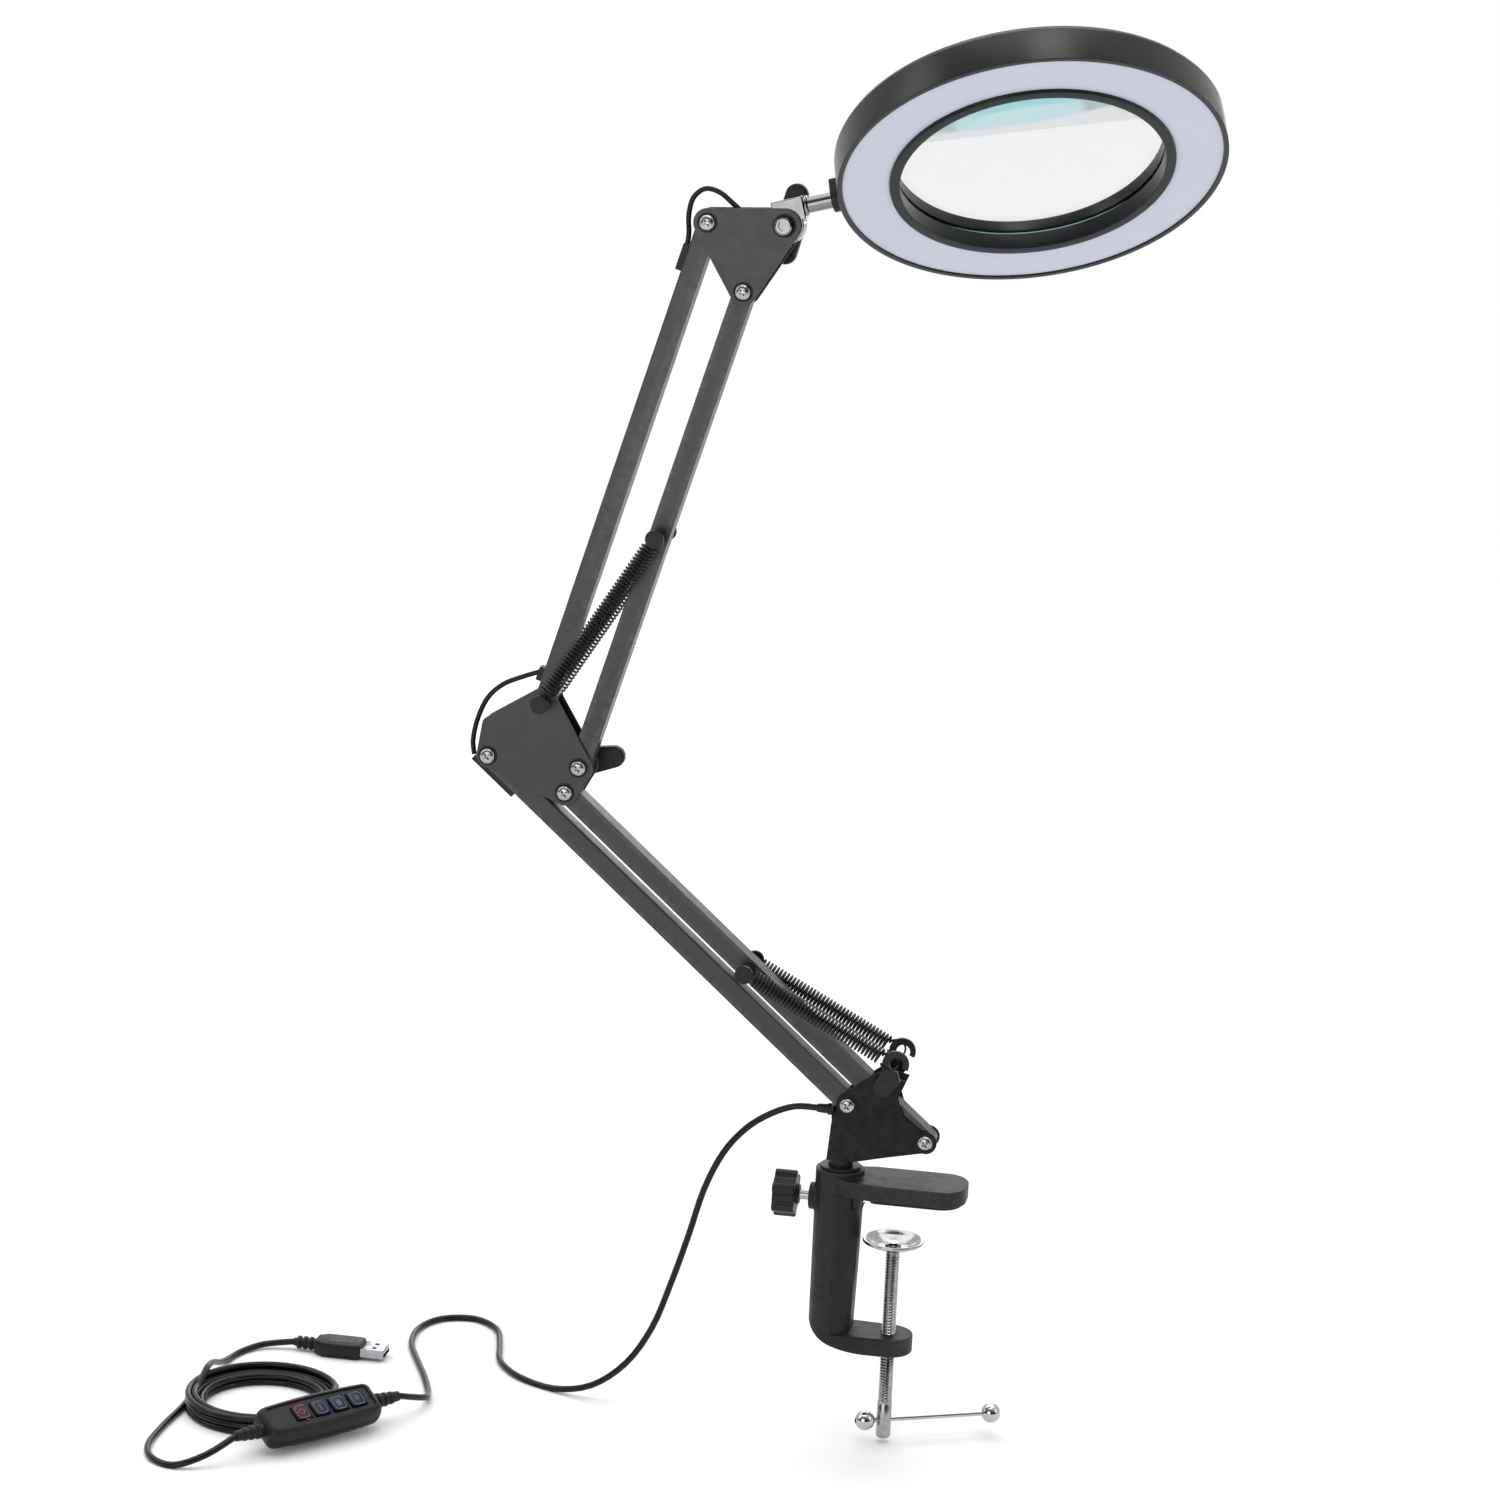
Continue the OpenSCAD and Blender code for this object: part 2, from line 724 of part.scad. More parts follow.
// Black ring below the lens with a lip over the housing's inner edge
module lens_bezel() {
  inner = seat_r - 2.7;
  color("#121214") ring_frame() rotate_extrude() polygon([
    [inner, -half_h - 0.8], [led_inner, -half_h - 0.8], [led_inner, -half_h],
    [seat_r - 0.05, -half_h], [seat_r - 0.05, -rim_half], [inner + 0.6, -rim_half]
  ]);
}

module lens() {
  middle = 7.2;
  color("#dcebf0", 0.5) ring_frame() rotate_extrude($fn = 128) intersection() {
    translate([0, middle - lens_curve]) circle(r = lens_curve, $fn = 2000);
    translate([0, lens_curve - middle]) circle(r = lens_curve, $fn = 2000);
    translate([0, -half_h]) square([lens_d / 2, ring_h]);
  }
}

module lens_retainer() {
  inner = seat_r - 2.7;
  color("#161618") ring_frame() rotate_extrude() polygon([
    [inner + 0.6, rim_half], [seat_r - 0.05, rim_half], [seat_r - 0.05, half_h - 0.2],
    [inner, half_h - 0.2]
  ]);
}

// Black block that carries the stem on the side of the housing
module stem_mount() {
  color("#18181a") ring_frame() difference() {
    translate([2 - ring_r, 0, 0]) rotate([0, -90, 0]) linear_extrude(6) {
      circle(r = 6);
      translate([0, -6]) square([8, 12]);
    }
    translate([0, 0, -20]) cylinder(r = ring_r, h = 40);
    translate([4 - ring_r, 0, 0]) rotate([0, -90, 0]) cylinder(r = 3.8 + gap, h = 12);
  }
}

module head_stem() {
  edge = ring_x - ring_r;
  color("#dededf") head_frame() translate([0, 0, stem_lift]) rotate([0, 90, 0]) {
    translate([0, 0, 2]) cylinder(r = 3, h = edge + 2);
    translate([0, 0, 12.1]) cylinder(r = 3.8, h = edge - 12.2);
  }
}

// ---------------------------------------------------------------- cord, switch and plug

module cord_lead() {
  color("#0f0f11") cord_tube(lead_route, cord_r, 3);
}

module cord_tail() {
  color("#0f0f11") cord_tube(tail_route, cord_r, 3);
}

module cord_end() {
  color("#0f0f11") cord_tube(end_route, cord_r, 3);
}

// Outer shape of the seven turns: three columns, the outermost one three turns high
module cord_coil() {
  outer = coil_r + cord_r;
  color("#0f0f11") translate([coil_at.x, coil_at.y, floor_z]) rotate_extrude() polygon([
    [outer - 3 * cord_d, 0], [outer, 0], [outer, 3 * cord_d], [outer - cord_d, 3 * cord_d],
    [outer - cord_d, 2 * cord_d], [outer - 3 * cord_d, 2 * cord_d]
  ]);
}

// Draws in the switch's own frame: X along it, Z out of its face
module switch_frame() {
  translate(switch_at) rotate([0, 0, switch_yaw]) rotate([switch_lean, 0, 0]) children();
}

// Barrel outline of the switch seen from above
module switch_outline() {
  side_r = 260;
  intersection() {
    translate([-switch_l / 2, -switch_w]) square([switch_l, 2 * switch_w]);
    translate([0, switch_w / 2 - side_r]) circle(r = side_r, $fn = 720);
    translate([0, side_r - switch_w / 2]) circle(r = side_r, $fn = 720);
  }
}

module switch_crown() {
  rotate([90, 0, 90]) translate([0, 0, -40]) linear_extrude(80) intersection() {
    translate([0, switch_h / 2 - 18]) circle(r = 18, $fn = 180);
    translate([0, 18 - switch_h / 2]) circle(r = 18, $fn = 180);
  }
}

module key_places() {
  for (k = [0 : 3]) translate([(1.5 - k) * key_pitch + 4.5, 0, 0]) children();
}

module switch_top() {
  color("#17171a") switch_frame() difference() {
    intersection() {
      linear_extrude(switch_h) switch_outline();
      switch_crown();
    }
    key_places() translate([0, 0, key_z + 4]) cube([key_size + 0.6, key_size + 0.6, 9], true);
  }
}

// Bottom shell with the ribbed strain reliefs at both ends
module switch_bottom() {
  color("#141417") switch_frame() {
    intersection() {
      translate([0, 0, -switch_h]) linear_extrude(switch_h) switch_outline();
      switch_crown();
    }
    for (turn = [0, 180]) rotate([0, 0, turn]) translate([switch_l / 2, 0, 0]) rotate([0, 90, 0]) {
      cylinder(r1 = 3.4, r2 = 2.4, h = relief_end - switch_l / 2);
      for (z = [2.4, 5.6, 8.8]) translate([0, 0, z]) cylinder(r = 4 - z / 12, h = 1.6);
    }
  }
}

module switch_key(k, tone) {
  color(tone) switch_frame() translate([(1.5 - k) * key_pitch + 4.5, 0, key_z])
    translate([-key_size / 2, -key_size / 2, 0])
      cube([key_size, key_size, switch_h / 2 - key_z + 0.5]);
}

module switch_key_1() {
  switch_key(0, "#2b4bd8");
}

module switch_key_2() {
  switch_key(1, "#2b4bd8");
}

module switch_key_3() {
  switch_key(2, "#2b4bd8");
}

module switch_key_4() {
  switch_key(3, "#d85a78");
}

// Overmould of the plug with its ribbed neck, lying flat
module plug_body() {
  color("#131315") translate(plug_at) {
    translate([-18, 0, 0]) rotate([0, 90, 0]) cylinder(r1 = 2.2, r2 = 3, h = 12);
    for (x = [-15.6, -12.4, -9.2]) translate([x, 0, 0]) rotate([0, 90, 0])
      cylinder(r = 3.4, h = 1.6);
    translate([0, 0, -4]) linear_extrude(8) polygon([
      [-6, -4.5], [-1, -7.6], [17, -7.6], [19, -6.4], [19, 6.4], [17, 7.6], [-1, 7.6], [-6, 4.5]
    ]);
  }
}

module plug_shell() {
  color("#c8c8cc") translate(plug_at + [19, 0, 0]) difference() {
    translate([0, -6, -2.25]) cube([12.5, 12, 4.5]);
    translate([1.5, -5.6, -1.85]) cube([20, 11.2, 1.9]);
    for (y = [-2.9, 2.9]) translate([7, y, 1]) cube([2.2, 2.4, 5], center = true);
  }
}

clamp_frame();
jaw_pad();
column_bush();
lock_knob();
lock_stud();
pad_rivet();
pressure_pad();
clamp_screw();
tommy_bar();
tommy_balls();
base_bracket();
pivot_post();
base_pivot_screws();
base_pivot_nuts();
base_spring_hooks();
cord_gland();
lower_main_tube();
lower_cable_guide();
lower_tie_tube();
lower_spring_post();
lower_springs();
elbow_plate_front();
elbow_plate_rear();
elbow_pivot_screws();
elbow_pivot_nuts();
elbow_spring_post();
elbow_wing_nut();
upper_main_tube();
upper_cable_clips();
upper_tie_tube();
upper_spring_post();
upper_springs();
jumper_leads();
head_plate_front();
head_plate_rear();
head_pivot_screws();
head_pivot_nuts();
head_clamp_bolt();
head_wing_nut();
head_yoke();
ring_housing();
led_ring();
diffuser();
lens_bezel();
lens();
lens_retainer();
stem_mount();
head_stem();
cord_lead();
switch_top();
switch_bottom();
switch_key_1();
switch_key_2();
switch_key_3();
switch_key_4();
cord_tail();
cord_coil();
cord_end();
plug_body();
plug_shell();
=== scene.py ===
import json
import math

import bmesh
import bpy
from mathutils import Matrix, Vector

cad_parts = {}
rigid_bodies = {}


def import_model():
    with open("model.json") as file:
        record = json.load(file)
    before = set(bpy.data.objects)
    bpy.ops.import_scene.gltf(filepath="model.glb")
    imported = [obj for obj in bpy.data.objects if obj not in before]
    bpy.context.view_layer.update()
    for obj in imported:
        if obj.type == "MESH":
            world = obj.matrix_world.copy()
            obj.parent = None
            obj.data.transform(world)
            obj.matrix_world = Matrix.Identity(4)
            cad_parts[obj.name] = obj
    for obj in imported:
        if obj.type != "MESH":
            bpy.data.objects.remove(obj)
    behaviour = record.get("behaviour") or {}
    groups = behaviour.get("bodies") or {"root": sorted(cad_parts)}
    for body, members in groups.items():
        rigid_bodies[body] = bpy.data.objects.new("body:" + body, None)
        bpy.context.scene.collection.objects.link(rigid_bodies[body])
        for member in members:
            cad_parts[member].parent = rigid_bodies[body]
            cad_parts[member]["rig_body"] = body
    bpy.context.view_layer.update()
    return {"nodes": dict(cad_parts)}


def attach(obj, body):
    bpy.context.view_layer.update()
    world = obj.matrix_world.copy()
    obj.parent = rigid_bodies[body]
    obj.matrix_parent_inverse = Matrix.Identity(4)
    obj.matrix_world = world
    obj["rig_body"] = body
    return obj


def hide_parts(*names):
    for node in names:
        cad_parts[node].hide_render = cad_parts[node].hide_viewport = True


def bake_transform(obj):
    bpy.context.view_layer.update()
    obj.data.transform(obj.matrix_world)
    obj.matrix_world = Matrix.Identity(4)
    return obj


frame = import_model()

# Everything below is written in millimetres and made in metres.
MM = 0.001
X, Y, Z = Vector((1, 0, 0)), Vector((0, 1, 0)), Vector((0, 0, 1))


# ---------------------------------------------------------------- sizes and places

def polar(angle):
    return Vector((math.cos(math.radians(angle)), 0, math.sin(math.radians(angle))))


LINK, TUBE_W, PLATE_Y, PIN_R = 244.0, 10.0, 6.6, 2.0
NUT_TIP, WING_TIP = PLATE_Y + 3.6, 17.5        # where the screws end behind their nuts
LOWER, UPPER, STEM = 139.3, 73.1, 14.85
BASE_1 = Vector((-25.2, 0, 46))
BASE_2 = BASE_1 + Vector((38.9, 0, -15.4))
ELBOW_1 = BASE_1 + LINK * polar(LOWER)
ELBOW_2 = BASE_2 + LINK * polar(LOWER)
ELBOW_3 = ELBOW_1 + Vector((26.9, 0, 28.7))
ELBOW_4 = ELBOW_1 + Vector((45.2, 0, -2.6))
HEAD_1 = ELBOW_3 + LINK * polar(UPPER)
HEAD_2 = ELBOW_4 + LINK * polar(UPPER)
HEAD_T = HEAD_1 + Vector((36.5, 0, 0.4))
POST_ALONG = 120.5
LOWER_POST = BASE_2 + POST_ALONG * polar(LOWER)
UPPER_POST = ELBOW_4 + POST_ALONG * polar(UPPER)
HOOK_EYE = Vector((-2, 0, 70))
SPRING_Y, SPRING_D, WIRE_D = 12.0, 8.6, 1.15

RING_X, RING_R, HALF_H, SEAT_R, LED_IN, LED_OUT = 118.0, 90.2, 9.5, 64.0, 66.0, 87.8
STEM_LIFT, RING_TILT = 7, -33.7
RING = (Matrix.Translation(HEAD_T * MM) @ Matrix.Rotation(math.radians(-STEM), 4, "Y")
        @ Matrix.Translation(Z * STEM_LIFT * MM) @ Matrix.Rotation(math.radians(RING_TILT), 4, "X")
        @ Matrix.Translation(X * RING_X * MM))

FLOOR_Z, CORD_D = -127.0, 3.3
CORD_R = CORD_D / 2
LIE_Z = FLOOR_Z + CORD_R
GLAND = Vector((-41, 0, 41.4))
COIL_AT, COIL_R = Vector((-306, -45, 0)), 77 / 2 - CORD_R
SWITCH_AT = Vector((-268, -76, FLOOR_Z + 11.9))
SWITCH_YAW, SWITCH_LEAN = math.radians(50), math.radians(28)
SWITCH_REACH = 47 * Vector((math.cos(SWITCH_YAW), math.sin(SWITCH_YAW), 0))
SWITCH_IN, SWITCH_OUT = SWITCH_AT + SWITCH_REACH, SWITCH_AT - SWITCH_REACH
SWITCH = (Matrix.Translation(SWITCH_AT * MM) @ Matrix.Rotation(SWITCH_YAW, 4, "Z")
          @ Matrix.Rotation(SWITCH_LEAN, 4, "X"))
PLUG_AT = Vector((-297, 36, FLOOR_Z + 4.1))

# ---------------------------------------------------------------- camera

AZIMUTH, ELEVATION, ROLL = (math.radians(a) for a in (9.799, 11.427, 2.545))
back = Vector((math.sin(AZIMUTH) * math.cos(ELEVATION), -math.cos(AZIMUTH) * math.cos(ELEVATION),
               math.sin(ELEVATION)))
right = Vector((math.cos(AZIMUTH), math.sin(AZIMUTH), 0))
above = back.cross(right)
across = right * math.cos(ROLL) + above * math.sin(ROLL)
upward = above * math.cos(ROLL) - right * math.sin(ROLL)
AIM, DISTANCE, LENS_LENGTH = Vector((-82.18, 0, 216.78)), 1.733, 86.4
eye = AIM * MM + back * DISTANCE
camera = bpy.data.objects.new("camera", bpy.data.cameras.new("camera"))
bpy.context.scene.collection.objects.link(camera)
camera.matrix_world = Matrix(((across.x, upward.x, back.x, eye.x),
                              (across.y, upward.y, back.y, eye.y),
                              (across.z, upward.z, back.z, eye.z), (0, 0, 0, 1)))
camera.data.lens, camera.data.sensor_width = LENS_LENGTH, 36
camera.data.clip_start, camera.data.clip_end = 0.05, 50
bpy.context.scene.camera = camera

# ---------------------------------------------------------------- materials


def node(tree, kind, **values):
    made = tree.nodes.new(kind)
    for name, value in values.items():
        if name in made.inputs:
            made.inputs[name].default_value = value
        else:
            setattr(made, name, value)
    return made


def noise(tree, scale, detail=3.0, stretch=(1, 1, 1)):
    """Fine noise in object space; stretch squeezes it along an axis."""
    place = node(tree, "ShaderNodeTexCoord")
    turn = node(tree, "ShaderNodeMapping", Scale=stretch)
    cloud = node(tree, "ShaderNodeTexNoise", Scale=scale, Detail=detail, Roughness=0.6)
    tree.links.new(place.outputs["Object"], turn.inputs["Vector"])
    tree.links.new(turn.outputs["Vector"], cloud.inputs["Vector"])
    return cloud.outputs["Fac"]


def ramp(tree, source, low, high):
    """Maps the middle of a noise to a range of numbers."""
    made = node(tree, "ShaderNodeMapRange")
    made.inputs["From Min"].default_value, made.inputs["From Max"].default_value = 0.3, 0.7
    made.inputs["To Min"].default_value, made.inputs["To Max"].default_value = low, high
    tree.links.new(source, made.inputs["Value"])
    return made.outputs["Result"]


def blended(tree, factor, a, b):
    """A mix of two colours; a may be a colour or another node's output."""
    made = node(tree, "ShaderNodeMix", data_type="RGBA")
    for socket, colour in zip([s for s in made.inputs if s.type == "RGBA"], (a, b)):
        if isinstance(colour, bpy.types.NodeSocket):
            tree.links.new(colour, socket)
        else:
            socket.default_value = (*colour, 1)
    tree.links.new(factor, made.inputs["Factor"])
    return next(o for o in made.outputs if o.type == "RGBA")


def shader(name, colour, roughness, metallic=0.0, mottle=(60, 0.8, 1.25), grain=(1500, 0.25, 0.06),
           spread=0.05, stretch=(1, 1, 1), edge_highlight=None, **sockets):
    """A surface with mottled colour, uneven gloss and a fine grain.

    mottle is the noise's scale and the darkest and lightest share of the colour, grain the
    scale, strength and depth of the bumps, and the edge colour (the last argument) a lighter
    colour painted on the convex edges as a painted highlight.
    """
    made = bpy.data.materials.new(name)
    made.use_nodes = True
    tree = made.node_tree
    surface = tree.nodes["Principled BSDF"]
    scale, dark, light = mottle
    factor = ramp(tree, noise(tree, scale, 4), 0, 1)
    colour_out = blended(tree, factor, [c * dark for c in colour],
                         [min(1, c * light) for c in colour])
    # Painted highlight: the convex edges, found by pointiness and broken up by noise, get the
    # lighter edge colour in place of light caught on them.
    if edge_highlight:
        shape = node(tree, "ShaderNodeNewGeometry")
        edge = node(tree, "ShaderNodeMapRange")
        for key, value in (("From Min", 0.52), ("From Max", 0.62), ("To Min", 0), ("To Max", 1)):
            edge.inputs[key].default_value = value
        tree.links.new(shape.outputs["Pointiness"], edge.inputs["Value"])
        edge_highlight_mask = node(tree, "ShaderNodeMath", operation="MULTIPLY")
        tree.links.new(edge.outputs["Result"], edge_highlight_mask.inputs[0])
        tree.links.new(ramp(tree, noise(tree, 260, 5), 0, 0.9), edge_highlight_mask.inputs[1])
        colour_out = blended(tree, edge_highlight_mask.outputs["Value"], colour_out, edge_highlight)
    tree.links.new(colour_out, surface.inputs["Base Color"])
    rough = ramp(tree, noise(tree, scale * 3, 4, stretch), roughness - spread, roughness + spread)
    tree.links.new(rough, surface.inputs["Roughness"])
    size, strength, depth = grain
    bump = node(tree, "ShaderNodeBump", Strength=strength, Distance=depth * MM)
    tree.links.new(noise(tree, size, 2, stretch), bump.inputs["Height"])
    tree.links.new(bump.outputs["Normal"], surface.inputs["Normal"])
    surface.inputs["Metallic"].default_value = metallic
    for key, value in sockets.items():
        surface.inputs[key.replace("_", " ")].default_value = value
    return made


ARM = shader("arm_black", (0.015, 0.015, 0.0155), 0.36, grain=(1100, 0.25, 0.04),
             edge_highlight=(0.06, 0.06, 0.06), Specular_IOR_Level=0.5)
# Painted shade: a darker, duller copy of the arm paint for the base bracket.
ARM_SHADED = shader("arm_black_shaded", (0.006, 0.006, 0.0065), 0.46, grain=(1100, 0.3, 0.05),
              edge_highlight=(0.05, 0.05, 0.05), Specular_IOR_Level=0.13)
CAST = shader("cast_black", (0.009, 0.009, 0.0095), 0.50, mottle=(90, 0.75, 1.35),
              grain=(800, 0.45, 0.08), edge_highlight=(0.16, 0.16, 0.155), Specular_IOR_Level=0.26)
OXIDE = shader("steel_black", (0.010, 0.010, 0.0105), 0.35, metallic=0.2, mottle=(240, 0.7, 1.5),
               grain=(1900, 0.2, 0.02), Specular_IOR_Level=0.3)
ZINC = shader("zinc", (0.38, 0.385, 0.40), 0.22, metallic=1.0, mottle=(300, 0.82, 1.12),
              grain=(2200, 0.2, 0.02), spread=0.07)
DISH = shader("dish_steel", (0.36, 0.365, 0.375), 0.16, metallic=1.0, mottle=(160, 0.8, 1.2),
              grain=(900, 0.1, 0.02), spread=0.05)
# Painted shade: a darker copy of the chrome for the yoke, the stem and the clamp bolt, so the
# lights' reflections in them are dimmer.
CHROME_SHADED = shader("chrome_shaded", (0.22, 0.222, 0.23), 0.10, metallic=1.0, mottle=(110, 0.85, 1.15),
                grain=(900, 0.06, 0.01), spread=0.03)
CHROME = shader("chrome", (0.50, 0.505, 0.52), 0.08, metallic=1.0, mottle=(110, 0.93, 1.05),
                grain=(500, 0.06, 0.02), spread=0.03)
PLASTIC = shader("plastic_black", (0.010, 0.010, 0.0105), 0.42, mottle=(120, 0.8, 1.3),
                 grain=(1500, 0.12, 0.02), Specular_IOR_Level=0.24)
GLOSS = shader("gloss_black", (0.008, 0.0075, 0.007), 0.27, mottle=(35, 0.9, 1.1),
               grain=(900, 0.02, 0.01), spread=0.015, Specular_IOR_Level=0.4)
BEZEL = shader("bezel_black", (0.006, 0.008, 0.0085), 0.22, mottle=(35, 0.9, 1.1),
               grain=(2100, 0.06, 0.01), spread=0.03, Specular_IOR_Level=0.22)
PANEL = shader("panel_black", (0.004, 0.0045, 0.006), 0.12, mottle=(160, 0.7, 1.4),
               grain=(900, 0.06, 0.01), spread=0.04, Specular_IOR_Level=0.2)
SATIN = shader("switch_black", (0.009, 0.009, 0.0095), 0.4, mottle=(80, 0.9, 1.15),
               grain=(1500, 0.08, 0.01), spread=0.03, Specular_IOR_Level=0.26)
RUBBER = shader("rubber_black", (0.018, 0.018, 0.018), 0.75, mottle=(200, 0.7, 1.3),
                grain=(1700, 0.5, 0.07), Specular_IOR_Level=0.25)
CORD = shader("cord_black", (0.005, 0.005, 0.0055), 0.24, mottle=(150, 0.85, 1.2),
              grain=(900, 0.04, 0.01), spread=0.03, Specular_IOR_Level=0.24)
BOARD = shader("led_board", (0.84, 0.83, 0.75), 0.5, mottle=(220, 0.9, 1.05))
SYMBOL_BLUE = shader("symbol_blue", (0.02, 0.05, 0.14), 0.3, mottle=(400, 0.7, 1.2),
                     Emission_Color=(0.05, 0.11, 0.32, 1), Emission_Strength=0.07)
SYMBOL_RED = shader("symbol_red", (0.16, 0.006, 0.035), 0.3, mottle=(400, 0.7, 1.2),
                    Emission_Color=(0.45, 0.03, 0.13, 1), Emission_Strength=0.06)
DIFFUSER = shader("diffuser", (0.335, 0.345, 0.405), 0.42, mottle=(45, 0.98, 1.02),
                  grain=(1600, 0.08, 0.01), Emission_Color=(0.80, 0.84, 0.98, 1),
                  Emission_Strength=0.22, Specular_IOR_Level=0.3)
LENS = shader("lens_glass", (0.86, 0.875, 0.885), 0.0, spread=0.0, grain=(90, 0.0, 0.0),
              Transmission_Weight=1.0, IOR=1.16)
# The base colour comes from the mesh: the glass's tint, with a painted reflection in a crescent on
# one side.
glass = LENS.node_tree
glass.links.new(node(glass, "ShaderNodeAttribute", attribute_name="tint_and_reflection").outputs["Color"],
                glass.nodes["Principled BSDF"].inputs["Base Color"])
# Painted light: the lens's ground edge glows sea-green, though no lamp is in it.
LENS_EDGE_GLOW = shader("lens_edge_glow", (0.50, 0.78, 0.78), 0.7, mottle=(60, 0.7, 1.2),
                   grain=(900, 0.3, 0.03), Emission_Color=(0.45, 0.80, 0.80, 1),
                   Emission_Strength=0.75)

# ---------------------------------------------------------------- making pieces


def placed(name, data, material, body, replaces=(), matrix=None):
    """Makes a piece of a mesh or curve, puts it on the body it rides on and hides the nodes it
    stands for.
    """
    piece = bpy.data.objects.new(name, data)
    bpy.context.scene.collection.objects.link(piece)
    if matrix is not None:
        data.transform(matrix)
    data.materials.clear()
    data.materials.append(material)
    if body:
        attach(piece, body)
    if replaces:
        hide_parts(*replaces)
    return piece


def step(low, high, v):
    """Rises smoothly from 0 at low to 1 at high."""
    t = min(1, max(0, (v - low) / (high - low)))
    return t * t * (3 - 2 * t)


def mesh_of(name, verts, faces):
    data = bpy.data.meshes.new(name)
    data.from_pydata([Vector(v) * MM for v in verts], [], faces)
    return data


def joined(name, parts):
    """One mesh from several."""
    whole = bmesh.new()
    for part in parts:
        whole.from_mesh(part)
    data = bpy.data.meshes.new(name)
    whole.to_mesh(data)
    whole.free()
    return data


def soften(data, angle=40):
    data.shade_smooth()
    data.set_sharp_from_angle(angle=math.radians(angle))
    return data


def outward(data):
    whole = bmesh.new()
    whole.from_mesh(data)
    bmesh.ops.recalc_face_normals(whole, faces=whole.faces)
    whole.to_mesh(data)
    whole.free()
    return data


def rounded(name, material, width=0.3, segments=2, angle=32, long_edges=None, smooth=28):
    """The CAD node's own shape with its sharp edges rounded, as a piece that stands for it.

    long_edges is the radius of a tube's four long edges, which get a larger round.
    """
    source = frame["nodes"][name]
    work = bmesh.new()
    work.from_mesh(source.data)
    bmesh.ops.remove_doubles(work, verts=work.verts, dist=2e-6)
    bmesh.ops.dissolve_limit(work, angle_limit=math.radians(0.6), verts=work.verts,
                             edges=work.edges, use_dissolve_boundaries=False)
    if long_edges:
        chosen = [e for e in work.edges if e.calc_length() > 0.1
                  and len(e.link_faces) == 2 and e.calc_face_angle() > 1
                  and all(abs(abs(v.co.y) - TUBE_W / 2 * MM) < 1e-5 for v in e.verts)]
        bmesh.ops.bevel(work, geom=chosen, offset=long_edges * MM, segments=4, profile=0.5,
                        affect="EDGES", clamp_overlap=False)
    data = bpy.data.meshes.new(name + "_rounded")
    work.to_mesh(data)
    work.free()
    piece = bpy.data.objects.new(name + "_piece", data)
    bpy.context.scene.collection.objects.link(piece)
    data.shade_smooth()
    data.set_sharp_from_angle(angle=math.radians(smooth))
    bevel = piece.modifiers.new("edges", "BEVEL")
    bevel.width, bevel.segments = width * MM, segments
    bevel.limit_method, bevel.angle_limit = "ANGLE", math.radians(angle)
    bevel.use_clamp_overlap = False
    bevel.harden_normals = True
    data.materials.clear()
    data.materials.append(material)
    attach(piece, source["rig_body"])
    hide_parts(name)
    return piece


def lathe(profile, segments=96, closed=True):
    """Turns a list of (radius, height) about Z."""
    rows = len(profile)
    verts = [(r * math.cos(math.tau * k / segments), r * math.sin(math.tau * k / segments), z)
             for k in range(segments) for r, z in profile]
    faces = []
    for k in range(segments):
        a, b = k * rows, (k + 1) % segments * rows
        for i in range(rows if closed else rows - 1):
            j = (i + 1) % rows
            faces.append((a + i, b + i, b + j, a + j))
    work = bmesh.new()
    data = mesh_of("lathe", verts, faces)
    work.from_mesh(data)
    bmesh.ops.remove_doubles(work, verts=work.verts, dist=1e-6)
    bmesh.ops.dissolve_degenerate(work, edges=work.edges, dist=1e-7)
    bmesh.ops.recalc_face_normals(work, faces=work.faces)
    work.to_mesh(data)
    work.free()
    return data


def softened(profile, radius, steps=4):
    """The closed profile with its corners rounded."""
    out, n = [], len(profile)
    for i in range(n):
        a, b, c = (Vector((*profile[(i + k) % n], 0)) for k in (-1, 0, 1))
        cut = min(radius, (a - b).length * 0.45, (c - b).length * 0.45)
        p, q = b + (a - b).normalized() * cut, b + (c - b).normalized() * cut
        for s in range(steps + 1):
            t = s / steps
            v = (1 - t) ** 2 * p + 2 * t * (1 - t) * b + t * t * q
            out.append((v.x, v.y))
    return out


def smooth_line(points, parts):
    """Points between the chosen ones on a smooth curve, as part.scad makes them."""
    p, out = [Vector(v) for v in points], []
    for i in range(len(p) - 1):
        a, b, c, d = p[max(i - 1, 0)], p[i], p[i + 1], p[min(i + 2, len(p) - 1)]
        for k in range(parts):
            u = k / parts
            out.append(0.5 * (2 * b + (c - a) * u + (2 * a - 5 * b + 4 * c - d) * u * u
                              + (3 * b - a - 3 * c + d) * u ** 3))
    return out + [p[-1]]


def tube(points, radius, sides=8):
    """A round bar along a line of points, closed at its ends."""
    n = len(points)
    heads = [(points[min(i + 1, n - 1)] - points[max(i - 1, 0)]).normalized() for i in range(n)]
    side = heads[0].orthogonal().normalized()
    verts, faces = [], []
    for i, (p, h) in enumerate(zip(points, heads)):
        side = (side - h * side.dot(h)).normalized()
        other = h.cross(side)
        r = radius(i / (n - 1)) if callable(radius) else radius
        verts += [p + r * (math.cos(math.tau * k / sides) * side
                           + math.sin(math.tau * k / sides) * other) for k in range(sides)]
    for i in range(n - 1):
        for k in range(sides):
            a, m = i * sides, (k + 1) % sides
            faces.append((a + k, a + m, a + sides + m, a + sides + k))
    faces += [tuple(reversed(range(sides))), tuple((n - 1) * sides + k for k in range(sides))]
    return soften(mesh_of("tube", verts, faces), 50)


